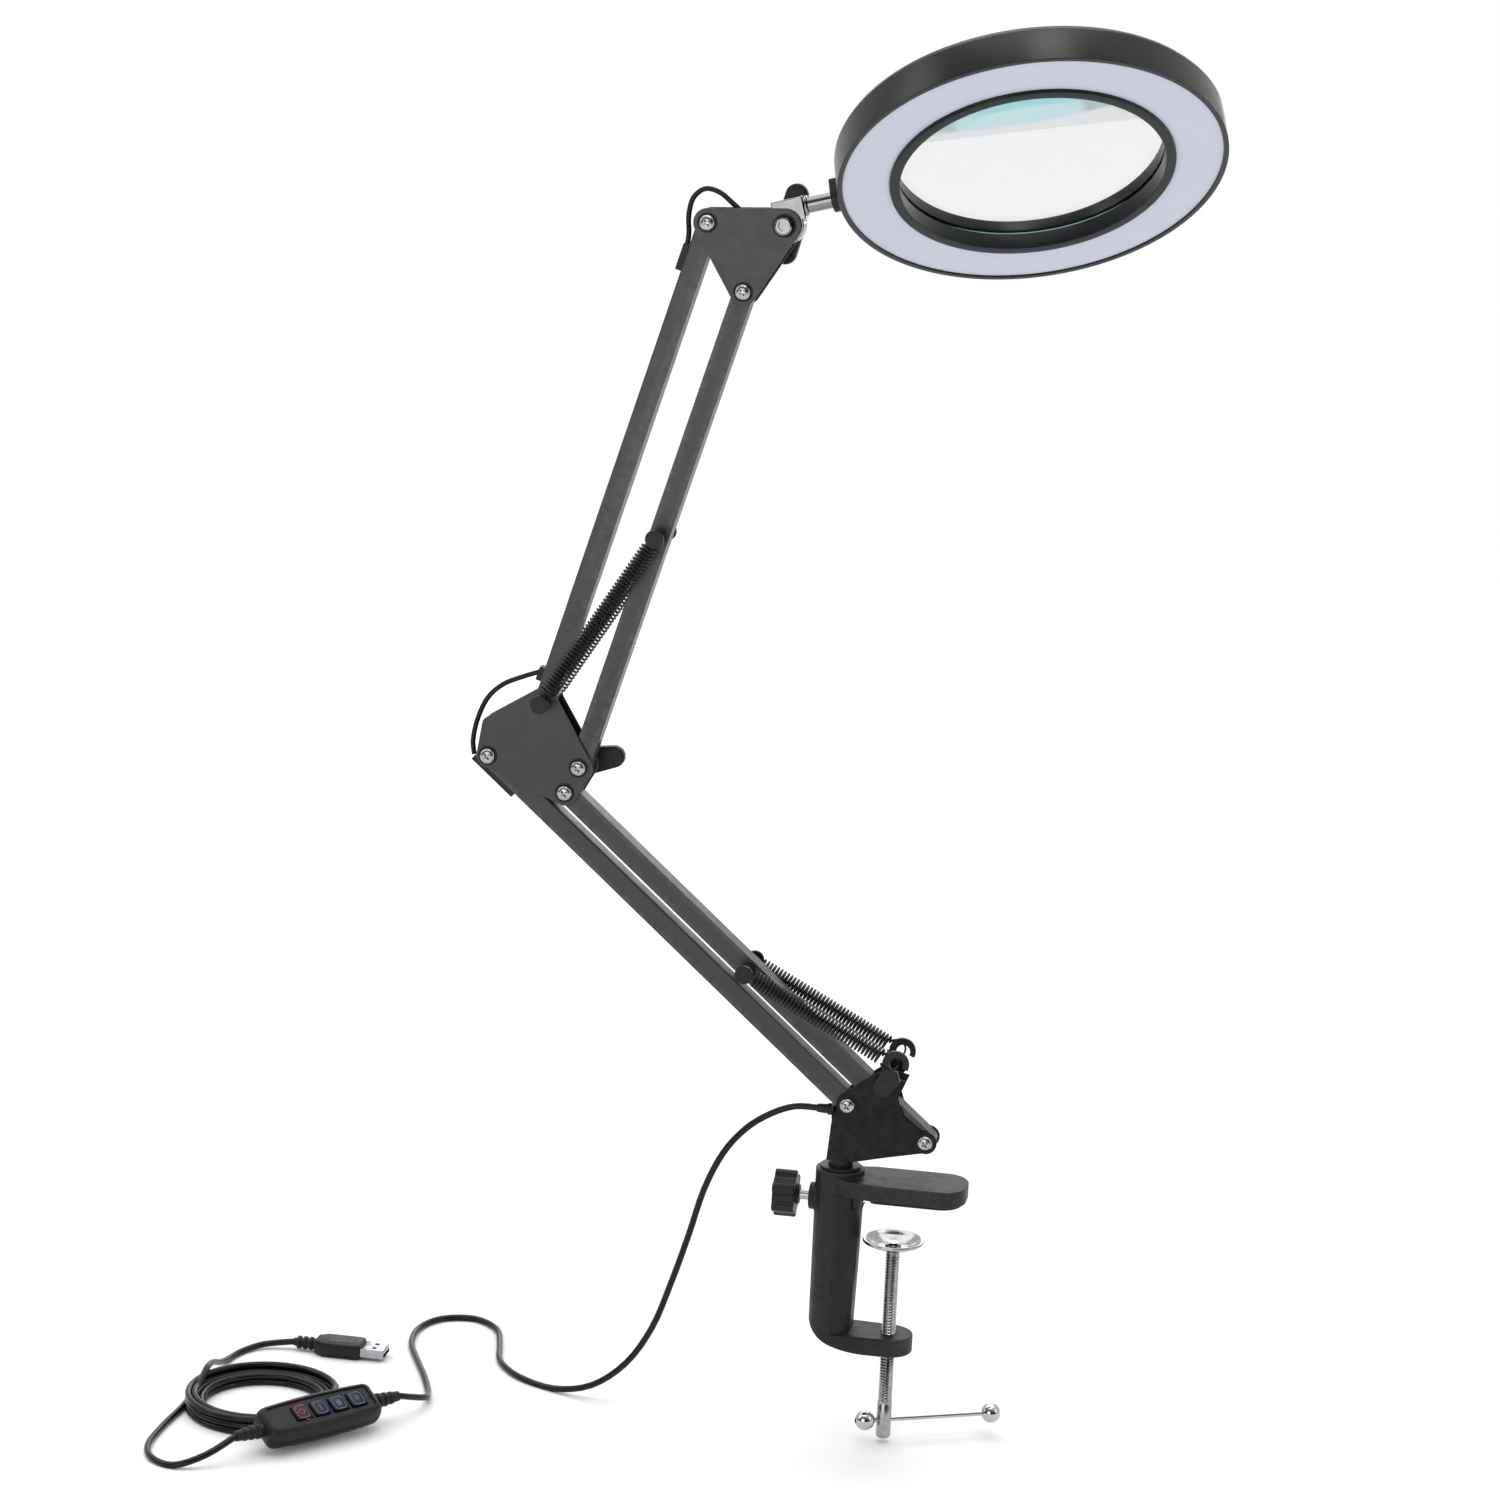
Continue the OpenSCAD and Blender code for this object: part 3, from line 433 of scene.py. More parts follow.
def prism(outline, z0, z1, edge=0.3, segments=3):
    """A flat piece from an outline, with rounded rims."""
    n = len(outline)
    verts = [(x, y, z) for z in (z0, z1) for x, y in outline]
    faces = [tuple(reversed(range(n))), tuple(range(n, 2 * n))]
    faces += [(i, (i + 1) % n, n + (i + 1) % n, n + i) for i in range(n)]
    data = mesh_of("prism", verts, faces)
    work = bmesh.new()
    work.from_mesh(data)
    bmesh.ops.recalc_face_normals(work, faces=work.faces)
    rims = [e for e in work.edges if abs(e.verts[0].co.z - e.verts[1].co.z) < 1e-7]
    if edge:
        bmesh.ops.bevel(work, geom=rims, offset=edge * MM, segments=segments, profile=0.5,
                        affect="EDGES", clamp_overlap=False)
    work.to_mesh(data)
    work.free()
    return soften(data, 32)


def box_mesh(centre, size):
    cx, cy, cz = centre
    sx, sy, sz = (v / 2 for v in size)
    return prism([(cx - sx, cy - sy), (cx + sx, cy - sy), (cx + sx, cy + sy), (cx - sx, cy + sy)],
                 cz - sz, cz + sz, 0)


def carved(data, cutters):
    """The mesh with other meshes cut out of it."""
    body = bpy.data.objects.new("carve", data)
    cutter = bpy.data.objects.new("cutter", joined("cutter", cutters))
    for o in (body, cutter):
        bpy.context.scene.collection.objects.link(o)
    cut = body.modifiers.new("cut", "BOOLEAN")
    cut.operation, cut.solver, cut.object = "DIFFERENCE", "EXACT", cutter
    cut.use_self = True
    bpy.context.view_layer.update()
    out = bpy.data.meshes.new_from_object(
        body.evaluated_get(bpy.context.evaluated_depsgraph_get()))
    for o in (body, cutter):
        bpy.data.objects.remove(o)
    return out


# ---------------------------------------------------------------- the cord

LEAD_ROUTE = [
    GLAND + Vector((0.5, 0, 0)), (-52, 0, 41), (-64, 0, 36), (-76, 1, 27), (-87, 2, 13),
    (-96, 3, -7), (-103, 4, -32), (-111, 5, -58), (-120, 6, -83), (-133, 8, -104),
    (-151, 11, -119), (-172, 17, LIE_Z), (-193, 28, LIE_Z), (-207, 46, LIE_Z),
    (-213, 68, LIE_Z), (-220, 90, LIE_Z), (-235, 102, LIE_Z), (-252, 97, LIE_Z),
    (-260, 80, LIE_Z), (-258, 58, LIE_Z), (-249, 36, LIE_Z), (-239, 14, LIE_Z),
    (-231, -8, LIE_Z), (-229, -24, -121), SWITCH_IN,
]
TAIL_ROUTE = [
    SWITCH_OUT, (-309, -124, -121), (-323, -130, LIE_Z), (-336, -124, LIE_Z),
    (-343, -109, LIE_Z), (-344, -86, LIE_Z), (-343, -64, LIE_Z),
]
END_ROUTE = [
    (COIL_AT.x - COIL_R + CORD_D, COIL_AT.y, LIE_Z + 2 * CORD_D), (-339.6, -38, LIE_Z + 8.6),
    (-340.2, -29, LIE_Z + 10), (-341.2, -18, LIE_Z + 8.2), (-342, -5, LIE_Z + 3.4),
    (-341.8, 4, LIE_Z + 0.9), (-341, 12, LIE_Z), (-338, 22, LIE_Z), (-330, 32, LIE_Z + 0.8),
    PLUG_AT - Vector((18, 0, 0)),
]
# Column and row of each turn of the coil, and of the last part that lies on the middle column
TURNS = [(0, 0), (1, 0), (2, 0), (2, 1), (1, 1), (0, 1), (0, 2), (1, 2)]
SHIFT, SHIFT_STEP = 0.075, 0.085


def coil_line(steps=40):
    """The turns of the coil, each one cord's width inside or above the one before."""
    out = []
    for i in range(len(TURNS) - 1):
        start = 1 - SHIFT - SHIFT_STEP * i
        for k in range(steps):
            u = k / steps
            t = step(start, start + SHIFT, u)
            column, row = (a + (b - a) * t for a, b in zip(TURNS[i], TURNS[i + 1]))
            angle, r = math.pi - math.tau * u, COIL_R - column * CORD_D
            out.append(Vector((COIL_AT.x + r * math.cos(angle), COIL_AT.y + r * math.sin(angle),
                               LIE_Z + row * CORD_D)))
    return out


def cord_curve(name, points):
    data = bpy.data.curves.new(name, "CURVE")
    data.dimensions, data.bevel_depth, data.bevel_resolution = "3D", CORD_R * MM, 4
    data.use_fill_caps = True
    line = data.splines.new("POLY")
    line.points.add(len(points) - 1)
    for spot, p in zip(line.points, points):
        spot.co = (*(p * MM), 1)
    line.use_smooth = True
    return data


coil = coil_line()
before_coil = smooth_line([Vector(p) for p in TAIL_ROUTE] + coil[:2], 4)[:-4]
cord_points = (smooth_line(LEAD_ROUTE, 4) + [SWITCH_AT] + before_coil + coil[1:]
               + smooth_line(END_ROUTE, 4))
cord = placed("cord_line", cord_curve("cord_line", cord_points), CORD, "base",
              ("cord_lead", "cord_tail", "cord_coil", "cord_end"))

# ---------------------------------------------------------------- inline switch

HALF_L, HALF_W = 32.5, 11.5


def barrel(inset=0.0, corner=4.2, bulge=1.9, steps=7):
    """The switch's outline, with bulging sides and round corners."""
    hl, hw, corner = HALF_L - inset, HALF_W - inset, max(0.6, corner - inset * 0.6)
    quarter = []
    for k in range(steps + 1):
        a = math.pi / 2 * k / steps
        quarter.append((hl - corner + corner * math.cos(a), hw - corner + corner * math.sin(a)))
    flat = [((hl - corner) * (1 - 2 * k / 12), hw) for k in range(1, 12)]
    half = quarter + flat + [(-x, y) for x, y in reversed(quarter)]
    whole = half + [(-x, -y) for x, y in half]
    out = []
    for x, y in whole:
        share = 1 - bulge / HALF_W * (x / HALF_L) ** 2
        out.append((x, y * share))
    return out


def loft(levels, crown=0.0, cap_low=True, cap_high=True):
    """A closed skin through outlines at heights; crown bends it down towards its sides."""
    n = len(levels[0][0])
    verts = [(x, y, z - (y * y * crown if z > 0 else -y * y * crown))
             for outline, z in levels for x, y in outline]
    faces = []
    for i in range(len(levels) - 1):
        for k in range(n):
            a, m = i * n, (k + 1) % n
            faces.append((a + k, a + m, a + n + m, a + n + k))
    if cap_low:
        faces.append(tuple(reversed(range(n))))
    if cap_high:
        faces.append(tuple((len(levels) - 1) * n + k for k in range(n)))
    return outward(mesh_of("loft", verts, faces))


KEYS = [(1.5 - k) * 10.6 + 4.5 for k in range(4)]
KEY_TOP = 6.55
shell_levels = [(barrel(0), 0.12), (barrel(0), 1.2), (barrel(0.15), 2.8), (barrel(0.55), 4.3),
                (barrel(1.2), 5.5), (barrel(2.1), 6.4), (barrel(2.9), 6.8), (barrel(3.4), 6.85),
                (barrel(3.75), 6.6), (barrel(3.9), 6.1), (barrel(4.0), 5.75)]
shell = loft(shell_levels, crown=0.008)
pockets = [box_mesh((x, 0, 7.1), (9.1, 9.1, 9.2)) for x in KEYS]
placed("switch_top_shell", soften(carved(shell, pockets), 35), SATIN, "base",
       ("switch_top",), SWITCH)
base_levels = [(barrel(0), -0.12), (barrel(0), -1.2), (barrel(0.15), -2.8), (barrel(0.6), -4.3),
               (barrel(1.4), -5.6), (barrel(2.6), -6.6), (barrel(4.2), -7.15)]
base_shell = soften(loft(base_levels, crown=0.004), 35)
parting = soften(loft([(barrel(0.35), -0.13), (barrel(0.35), 0.13)]), 35)
relief_parts = []
for turn in (0, math.pi):
    core = [(0.01, 0), (3.5, 0), (3.3, 1.2), (2.5, 14.5), (1.75, 14.5), (0.01, 14.5)]
    ribs = [softened([(1.2, z), (4.0 - z / 11, z), (4.0 - z / 11, z + 1.9), (1.2, z + 1.9)], 0.45)
            for z in (1.6, 5.2, 8.8)]
    for profile in [core] + ribs:
        part = lathe(profile, 28, closed=profile is not core)
        part.transform(Matrix.Rotation(turn, 4, "Z") @ Matrix.Translation(X * 32.4 * MM)
                       @ Matrix.Rotation(math.pi / 2, 4, "Y"))
        relief_parts.append(part)
placed("switch_bottom_shell", soften(joined("switch_bottom_shell",
                                            [base_shell, parting] + relief_parts), 35),
       PLASTIC, "base", ("switch_bottom",), SWITCH)
placed("switch_light_bar", prism([(-11.0, -5.2), (-9.0, -5.2), (-9.0, 5.2), (-11.0, 5.2)],
                                 5.2, 5.9, 0.2), SYMBOL_RED, "base", (), SWITCH)


def rounded_box(cx, w, h, corner, steps=5):
    out = []
    for sx, sy, start in ((1, 1, 0), (-1, 1, 1), (-1, -1, 2), (1, -1, 3)):
        for k in range(steps + 1):
            a = math.pi / 2 * (start + k / steps)
            out.append((cx + sx * (w / 2 - corner) + corner * math.cos(a),
                        sy * (h / 2 - corner) + corner * math.sin(a)))
    return out


def ribbon(outline, width, z0, z1):
    """A raised closed line."""
    n = len(outline)
    centre = Vector((sum(p[0] for p in outline) / n, sum(p[1] for p in outline) / n))
    inner = []
    for x, y in outline:
        v = Vector((x, y)) - centre
        inner.append(centre + v * (1 - width / v.length))
    verts = ([(x, y, z0) for x, y in outline] + [(x, y, z1) for x, y in outline]
             + [(p.x, p.y, z1) for p in inner] + [(p.x, p.y, z0) for p in inner])
    faces = [(r * n + k, r * n + (k + 1) % n, (r + 1) % 4 * n + (k + 1) % n, (r + 1) % 4 * n + k)
             for r in range(4) for k in range(n)]
    return outward(mesh_of("ribbon", verts, faces))


def key_marks(k, x, z):
    """A rounded frame and a plain symbol: a sun, two tones, a bar and a ring with a stroke."""
    low, high = z - 0.1, z + 0.12
    marks = [ribbon(rounded_box(x, 6.4, 8.0, 2.0), 0.55, low, high)]
    if k == 0:
        marks.append(prism([(x + 0.8 * math.cos(a), 0.8 * math.sin(a))
                            for a in [math.tau * i / 16 for i in range(16)]], low, high, 0))
        for i in range(8):
            a = math.tau * i / 8
            d, s = Vector((math.cos(a), math.sin(a))), Vector((-math.sin(a), math.cos(a)))
            marks.append(prism([tuple(Vector((x, 0)) + d * u + s * v) for u, v in
                                ((1.2, -0.17), (1.9, -0.17), (1.9, 0.17), (1.2, 0.17))],
                               low, high, 0))
    elif k == 1:
        for turn in (0.25, 1.25):
            aside = -0.25 if turn > 1 else 0.25
            marks.append(prism([(x + 1.7 * math.cos(math.pi * (turn + i / 14)) + aside,
                                 1.7 * math.sin(math.pi * (turn + i / 14)) + aside)
                                for i in range(15)], low, high, 0))
    elif k == 2:
        marks.append(prism([(x - 0.3, -1.8), (x + 0.3, -1.8), (x + 0.3, 1.8), (x - 0.3, 1.8)],
                           low, high, 0))
    else:
        marks.append(ribbon([(x + 1.7 * math.cos(math.tau * i / 24),
                              1.7 * math.sin(math.tau * i / 24)) for i in range(24)],
                            0.45, low, high))
        marks.append(prism([(x + 0.4, -0.22), (x + 2.3, -0.22), (x + 2.3, 0.22), (x + 0.4, 0.22)],
                           low, high + 0.05, 0))
    return joined("marks", marks)


for k, x in enumerate(KEYS):
    symbol, key_slot = (SYMBOL_RED, "key_red") if k == 3 else (SYMBOL_BLUE, "key_blue")
    placed(f"switch_key_{k + 1}_cap", prism(rounded_box(x, 8.6, 8.6, 1.1), 3.6, KEY_TOP, 0.35),
           PANEL, f"key_{k + 1}", (f"switch_key_{k + 1}",), SWITCH)
    placed(f"switch_key_{k + 1}_symbol", key_marks(k, x, KEY_TOP), symbol, f"key_{k + 1}",
           (), SWITCH)

# ---------------------------------------------------------------- plug

PLUG = Matrix.Translation(PLUG_AT * MM)


def hexagonal(inset):
    w, i = 7.6 - inset, inset * 0.8
    return [(-6 + i, -4.5 + i), (-1, -w), (8, -w), (17, -w), (19 - i * 0.4, -w + 1.2),
            (19 - i * 0.4, w - 1.2), (17, w), (8, w), (-1, w), (-6 + i, 4.5 - i)]


over = loft([(hexagonal(1.6), -4.0), (hexagonal(0.5), -3.6), (hexagonal(0), -2.4),
             (hexagonal(0), 2.4), (hexagonal(0.5), 3.6), (hexagonal(1.6), 4.0)])
grip = prism([(1.5, -4.4), (14.5, -4.4), (14.5, 4.4), (1.5, 4.4)], 3.9, 4.15, 0.1, 1)
neck = [lathe([(0.01, 0), (2.1, 0), (2.9, 12.5), (0.01, 12.5)], 28, closed=False)]
neck += [lathe(softened([(1, z), (3.35, z), (3.45, z + 1.9), (1, z + 1.9)], 0.45), 28)
         for z in (2.0, 5.2, 8.4)]
for part in neck:
    part.transform(Matrix.Translation(X * -18 * MM) @ Matrix.Rotation(math.pi / 2, 4, "Y"))
placed("plug_overmould", soften(joined("plug_overmould", [over, grip] + neck), 30),
       PLASTIC, "base", ("plug_body",), PLUG)
can = prism([(-6, -2.25), (6, -2.25), (6, 2.25), (-6, 2.25)], 19, 31.5, 0.25)
can.transform(Matrix(((0, 0, 1, 0), (1, 0, 0, 0), (0, 1, 0, 0), (0, 0, 0, 1))))
hollow = [box_mesh((27.5, 0, -0.95), (13, 11.2, 1.9))]
hollow += [box_mesh((26, y, 1.7), (2.2, 2.4, 1.6)) for y in (-2.9, 2.9)]
hollow.append(box_mesh((26, 0, 2.28), (14, 0.25, 0.2)))
placed("plug_metal_shell", soften(carved(can, hollow), 30), ZINC, "base",
       ("plug_shell",), PLUG)
placed("plug_tongue", prism([(20, -5.5), (30.6, -5.5), (30.6, 5.5), (20, 5.5)], -0.2, 0.6, 0.1),
       PLASTIC, "base", (), PLUG)

# ---------------------------------------------------------------- springs and leads


WIDE_LOOP = 3.5      # a loop wider than this hangs from a hook, a smaller one goes round a post


def spring_line(start, end, side, start_gap, end_gap, turns, loops):
    """A wound wire from one eye to the other. loops are the radii of its end loops."""
    axis = (end - start).normalized()
    across_axis = Y.cross(axis).normalized()
    shift, r = Y * side * SPRING_Y, (SPRING_D - WIRE_D) / 2
    reach = (end - start).length - start_gap - end_gap

    def eye(centre, sign, radius, tilt):
        lean = across_axis * math.cos(tilt) + Y * math.sin(tilt)
        return [centre + shift + radius * (sign * math.cos(a) * axis + math.sin(a) * lean)
                for a in [math.radians(d) for d in range(-140, 181, 12)]]

    first = eye(start + axis * (loops[0] - 1 if loops[0] > WIDE_LOOP else 0), -1, loops[0], 0.5)
    last = eye(end - axis * (loops[1] - 1 if loops[1] > WIDE_LOOP else 0), 1, loops[1], 0.6)
    begin = start + axis * start_gap + shift
    steps = 14
    coil_points = []
    for k in range(int(turns * steps) + 1):
        a, s = math.tau * k / steps, k / (turns * steps)
        coil_points.append(begin + axis * reach * s
                           + r * (math.cos(a) * across_axis + math.sin(a) * Y))
    return first + coil_points + list(reversed(last))


def spring(name, node_name, start, end, side, gaps, turns, loops):
    line = spring_line(start, end, side, *gaps, turns, loops)
    piece = placed(name, tube(line, WIRE_D / 2, 6), OXIDE, None, (node_name,))
    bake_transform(piece)


for label, side in (("front", -1), ("rear", 1)):
    spring(f"lower_spring_{label}", "lower_springs", HOOK_EYE, LOWER_POST, side, (8.5, 5.0), 38,
           (4.4, 3.0))
    spring(f"upper_spring_{label}", "upper_springs", ELBOW_3, UPPER_POST, side, (5.6, 5.2), 46,
           (3.0, 3.0))

def lead(name, points, *bodies):
    """One of the leads that cross a pivot, a fixed curved tube; the bodies it joins are not used.
    """
    piece = placed(name, tube(points, LEAD_R, 12), CORD, None, ("jumper_leads",))
    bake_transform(piece)


UP_LEFT = Vector((-polar(UPPER).z, 0, polar(UPPER).x))
LEAD_R, MEET = 1.25, 15      # MEET is the point where the elbow's lead is cut in two
elbow_line = smooth_line([
    ELBOW_3 + 11.5 * polar(UPPER) + 8 * UP_LEFT, (-196, 0, 244), (-205.5, 0, 239.5),
    (-213, 0, 232), (-217.6, 0, 221), (-219.4, 0, 211), (-218.6, 0, 204.1)], 5)
lead("elbow_lead_upper", list(reversed(elbow_line[:MEET + 1])), "elbow", "upper_main")
lead("elbow_lead_lower", elbow_line[MEET:], "elbow", "lower_main")
head_line = smooth_line([
    HEAD_1 - 13 * polar(UPPER) + 6.8 * UP_LEFT, (-122.2, 0, 462), (-122.6, 0, 470),
    (-120.8, 0, 478), (-115.4, 0, 482.6), (-108.4, 0, 481.4), (-101.6, 0, 476.4), (-95, 0, 471)], 5)
lead("head_lead", head_line, "upper_main", "head_bracket")

# ---------------------------------------------------------------- screws

TO_FRONT = Matrix.Rotation(math.pi / 2, 4, "X")      # turns a piece made along +Z towards -Y
TO_REAR = Matrix.Rotation(-math.pi / 2, 4, "X")


def front(data, at, y):
    """Places a piece made along +Z at a pivot, its foot at y, pointing to the front."""
    copy = data.copy()
    copy.transform(Matrix.Translation((at + Y * y) * MM) @ TO_FRONT)
    return copy


def phillips():
    """A pan head with a cross recess."""
    head = lathe([(0.0, -0.2), (3.75, -0.2), (3.8, 0.25), (3.72, 0.75), (3.4, 1.25), (2.8, 1.7),
                  (2.0, 1.98), (1.0, 2.12), (0.0, 2.16)], 40, closed=False)
    arms = []
    for turn in (math.radians(38), math.radians(128)):
        d, s = Vector((math.cos(turn), math.sin(turn))), Vector((-math.sin(turn), math.cos(turn)))
        top = [d * u + s * v for u, v in ((-2.15, -0.5), (2.15, -0.5), (2.15, 0.5), (-2.15, 0.5))]
        low = [d * u + s * v for u, v in ((-0.7, -0.26), (0.7, -0.26), (0.7, 0.26), (-0.7, 0.26))]
        verts = [(p.x, p.y, 0.7) for p in low] + [(p.x, p.y, 2.5) for p in top]
        faces = [(3, 2, 1, 0), (4, 5, 6, 7), (0, 1, 5, 4), (1, 2, 6, 5), (2, 3, 7, 6), (3, 0, 4, 7)]
        arms.append(outward(mesh_of("arm", verts, faces)))
    for arm in arms:
        head = carved(head, [arm])
    return soften(head, 34)


HEAD = phillips()


def shank(at, tip):
    """The rod of a screw at a pivot, from the front plate's face to its tip behind."""
    length = tip + PLATE_Y
    rod = soften(lathe([(0.0, 0), (PIN_R, 0), (PIN_R, length - 0.5), (PIN_R - 0.4, length),
                        (0.0, length)], 28, closed=False), 34)
    rod.transform(Matrix.Translation((at - Y * PLATE_Y) * MM) @ TO_REAR)
    return rod


def screws(name, body, places):
    """Pan heads with cross recesses on shanks, over dark washers."""
    heads, rings = [], []
    for at, tip in places:
        heads += [front(HEAD, at, -PLATE_Y - 0.5), shank(at, tip)]
        ring = soften(lathe(softened([(2.1, 0), (4.7, 0), (4.7, 0.75), (4.05, 0.75), (3.95, 0.5),
                                      (2.1, 0.5)], 0.18), 40), 34)
        rings.append(front(ring, at, -PLATE_Y))
    placed(name + "_heads", joined(name, heads), ZINC, body, (name,))
    placed(name + "_washers", joined(name, rings), PLASTIC, body)


screws("base_pivot_screws", "base", [(BASE_1, NUT_TIP), (BASE_2, NUT_TIP)])
screws("elbow_pivot_screws", "elbow", [(ELBOW_1, NUT_TIP), (ELBOW_2, NUT_TIP), (ELBOW_4, WING_TIP)])
screws("head_pivot_screws", "head_bracket", [(HEAD_1, NUT_TIP), (HEAD_2, NUT_TIP)])

bolt = lathe([(0.0, -0.2), (4.3, -0.2), (4.4, 0.2), (4.4, 1.9), (4.2, 2.45), (3.75, 2.75),
              (3.1, 2.8), (0.0, 2.8)], 48, closed=False)
socket = prism([(2.7 * math.cos(math.tau * (i + 0.3) / 6),
                 2.7 * math.sin(math.tau * (i + 0.3) / 6)) for i in range(6)], 0.9, 4, 0)
bolt = soften(carved(bolt, [socket]), 34)
placed("head_clamp_bolt_piece",
       joined("bolt", [front(bolt, HEAD_T, -PLATE_Y - 0.6), shank(HEAD_T, WING_TIP)]),
       CHROME_SHADED, "head_bracket", ("head_clamp_bolt",))
ring = soften(lathe(softened([(2.1, 0), (5.5, 0), (5.5, 0.9), (4.75, 0.9), (4.6, 0.6), (2.1, 0.6)],
                             0.2), 48), 34)
placed("head_clamp_bolt_washer", front(ring, HEAD_T, -PLATE_Y), PLASTIC, "head_bracket")

# ---------------------------------------------------------------- clamp screw with its thread

SCREW_R, SCREW_TOP, SCREW_END, PITCH, THREAD_DEPTH = 3.65, -27.8, -124.6, 1.5, 0.85


def threaded(z0, z1, around=28, rows=6):
    """The ridge runs down round the rod, one pitch a turn, and fades at both ends."""
    verts, faces = [], []
    count = int((z1 - z0) / PITCH * rows)
    for i in range(count + 1):
        z = z0 + (z1 - z0) * i / count
        fade = min(1, (z - z0) / PITCH, (z1 - z) / PITCH)
        for k in range(around):
            a = math.tau * k / around
            wave = abs(((z / PITCH - k / around) % 1) - 0.5) * 2
            r = SCREW_R - THREAD_DEPTH * fade * wave
            verts.append((r * math.cos(a), r * math.sin(a), z))
    for i in range(count):
        for k in range(around):
            a, m = i * around, (k + 1) % around
            faces.append((a + k, a + m, a + around + m, a + around + k))
    faces += [tuple(reversed(range(around))), tuple(count * around + k for k in range(around))]
    return mesh_of("thread", verts, faces)


foot_end = lathe([(0.0, SCREW_END), (2.9, SCREW_END), (3.45, SCREW_END + 0.5),
                  (SCREW_R, SCREW_END + 1.2), (SCREW_R, SCREW_END + 17.6),
                  (3.2, SCREW_END + 18.2), (0.0, SCREW_END + 18.2)], 40, closed=False)
placed("clamp_screw_thread", soften(joined("screw", [
    threaded(SCREW_END + 18, SCREW_TOP), foot_end]), 50), ZINC, "clamp_screw",
    ("clamp_screw",))

PAD_Z = -25.5
dish = softened([(2.6, PAD_Z - 1.4), (7.2, PAD_Z - 1.4), (12.2, PAD_Z + 1.2), (15.2, PAD_Z + 2.6),
                 (15.2, PAD_Z + 4), (13.9, PAD_Z + 4), (11.4, PAD_Z + 2.3), (7, PAD_Z),
                 (2.6, PAD_Z)], 0.5)
placed("pressure_pad_dish", soften(lathe(dish, 96), 40), DISH, "pressure_pad",
       ("pressure_pad",))

# ---------------------------------------------------------------- head

def ring_piece(name, profile, material, node_name, corner):
    placed(name, soften(lathe(softened(profile, corner), 160), 32), material, "head",
           (node_name,), RING)


ring_piece("ring_housing_piece", [
    (LED_OUT, -HALF_H), (RING_R, -HALF_H), (RING_R, HALF_H - 3), (RING_R - 1.1, HALF_H - 0.9),
    (RING_R - 3.4, HALF_H), (SEAT_R, HALF_H), (SEAT_R, -HALF_H), (LED_IN, -HALF_H),
    (LED_IN, HALF_H - 2.2), (LED_OUT, HALF_H - 2.2)], GLOSS, "ring_housing", 0.35)
ring_piece("diffuser_piece", [
    (LED_IN + 0.05, -HALF_H + 2.8), (LED_IN + 0.05, -HALF_H + 0.9), (LED_IN + 3, -HALF_H + 0.6),
    (LED_OUT - 3, -HALF_H + 0.6), (LED_OUT - 0.05, -HALF_H + 0.9),
    (LED_OUT - 0.05, -HALF_H + 2.8)], DIFFUSER, "diffuser", 0.3)
BEZEL_IN, RIM_HALF = SEAT_R - 2.7, 1.56
ring_piece("lens_bezel_piece", [
    (BEZEL_IN, -HALF_H - 0.8), (LED_IN - 0.1, -HALF_H - 0.8), (LED_IN, -HALF_H),
    (SEAT_R - 0.05, -HALF_H), (SEAT_R - 0.05, -RIM_HALF), (BEZEL_IN + 0.6, -RIM_HALF)], BEZEL,
    "lens_bezel", 0.3)
ring_piece("lens_retainer_piece", [
    (BEZEL_IN + 0.6, RIM_HALF), (SEAT_R - 0.05, RIM_HALF), (SEAT_R - 0.05, HALF_H - 0.2),
    (BEZEL_IN, HALF_H - 0.2)], GLOSS, "lens_retainer", 0.4)
LENS_R, LENS_CURVE, LENS_T, LENS_STEPS = 63.9, 340.0, 7.2, 48


def lens_half(r):
    """Half the glass's thickness at a radius."""
    return LENS_T - LENS_CURVE + math.sqrt(LENS_CURVE ** 2 - r ** 2)


# Clear tint of the glass, pale and deep sea-green of its painted reflection, and the edge of the
# crescent in its own frame
LENS_TINT_AND_REFLECTION = (0.735, 0.745, 0.755), (0.38, 0.69, 0.73), (0.24, 0.40, 0.40)
CHORD_AT, CHORD_SLOPE, CHORD_SOFT = 36, 0.1, 1.2


def lens_mesh():
    """The glass, nearly clear, with a painted reflection of the sea-green of its thick rim in a
    crescent on one side.
    """
    face = [(LENS_R * k / LENS_STEPS, lens_half(LENS_R * k / LENS_STEPS))
            for k in range(LENS_STEPS + 1)]
    data = lathe([(r, -z) for r, z in face] + [(r, z) for r, z in reversed(face)], 192,
                 closed=False)
    tint_and_reflection = data.attributes.new("tint_and_reflection", "FLOAT_COLOR", "POINT")
    for vertex, value in zip(data.vertices, tint_and_reflection.data):
        x, y = vertex.co.x / MM, vertex.co.y / MM
        # The crescent of painted reflection lies past a sloping chord and is deeper towards its two
        # ends.
        rim = step(-CHORD_SOFT, CHORD_SOFT, -y - CHORD_AT + CHORD_SLOPE * x)
        ends = step(27, 31, abs(x - 2))
        clear, pale_reflection, deep_reflection = (Vector(c) for c in LENS_TINT_AND_REFLECTION)
        value.color = (*clear.lerp(pale_reflection.lerp(deep_reflection, ends), rim), 1)
    return soften(data, 40)


placed("lens_piece", lens_mesh(), LENS, "head", ("lens",), RING)
edge = lens_half(LENS_R)
# The ground edge of the lens, with its painted glow.
placed("lens_ground_edge", soften(lathe([(LENS_R + 0.02, edge), (SEAT_R - 0.01, edge),
                                         (SEAT_R - 0.01, -edge), (LENS_R + 0.02, -edge)], 160), 40),
       LENS_EDGE_GLOW, "head", (), RING)

# ---------------------------------------------------------------- pieces that keep the CAD's shape

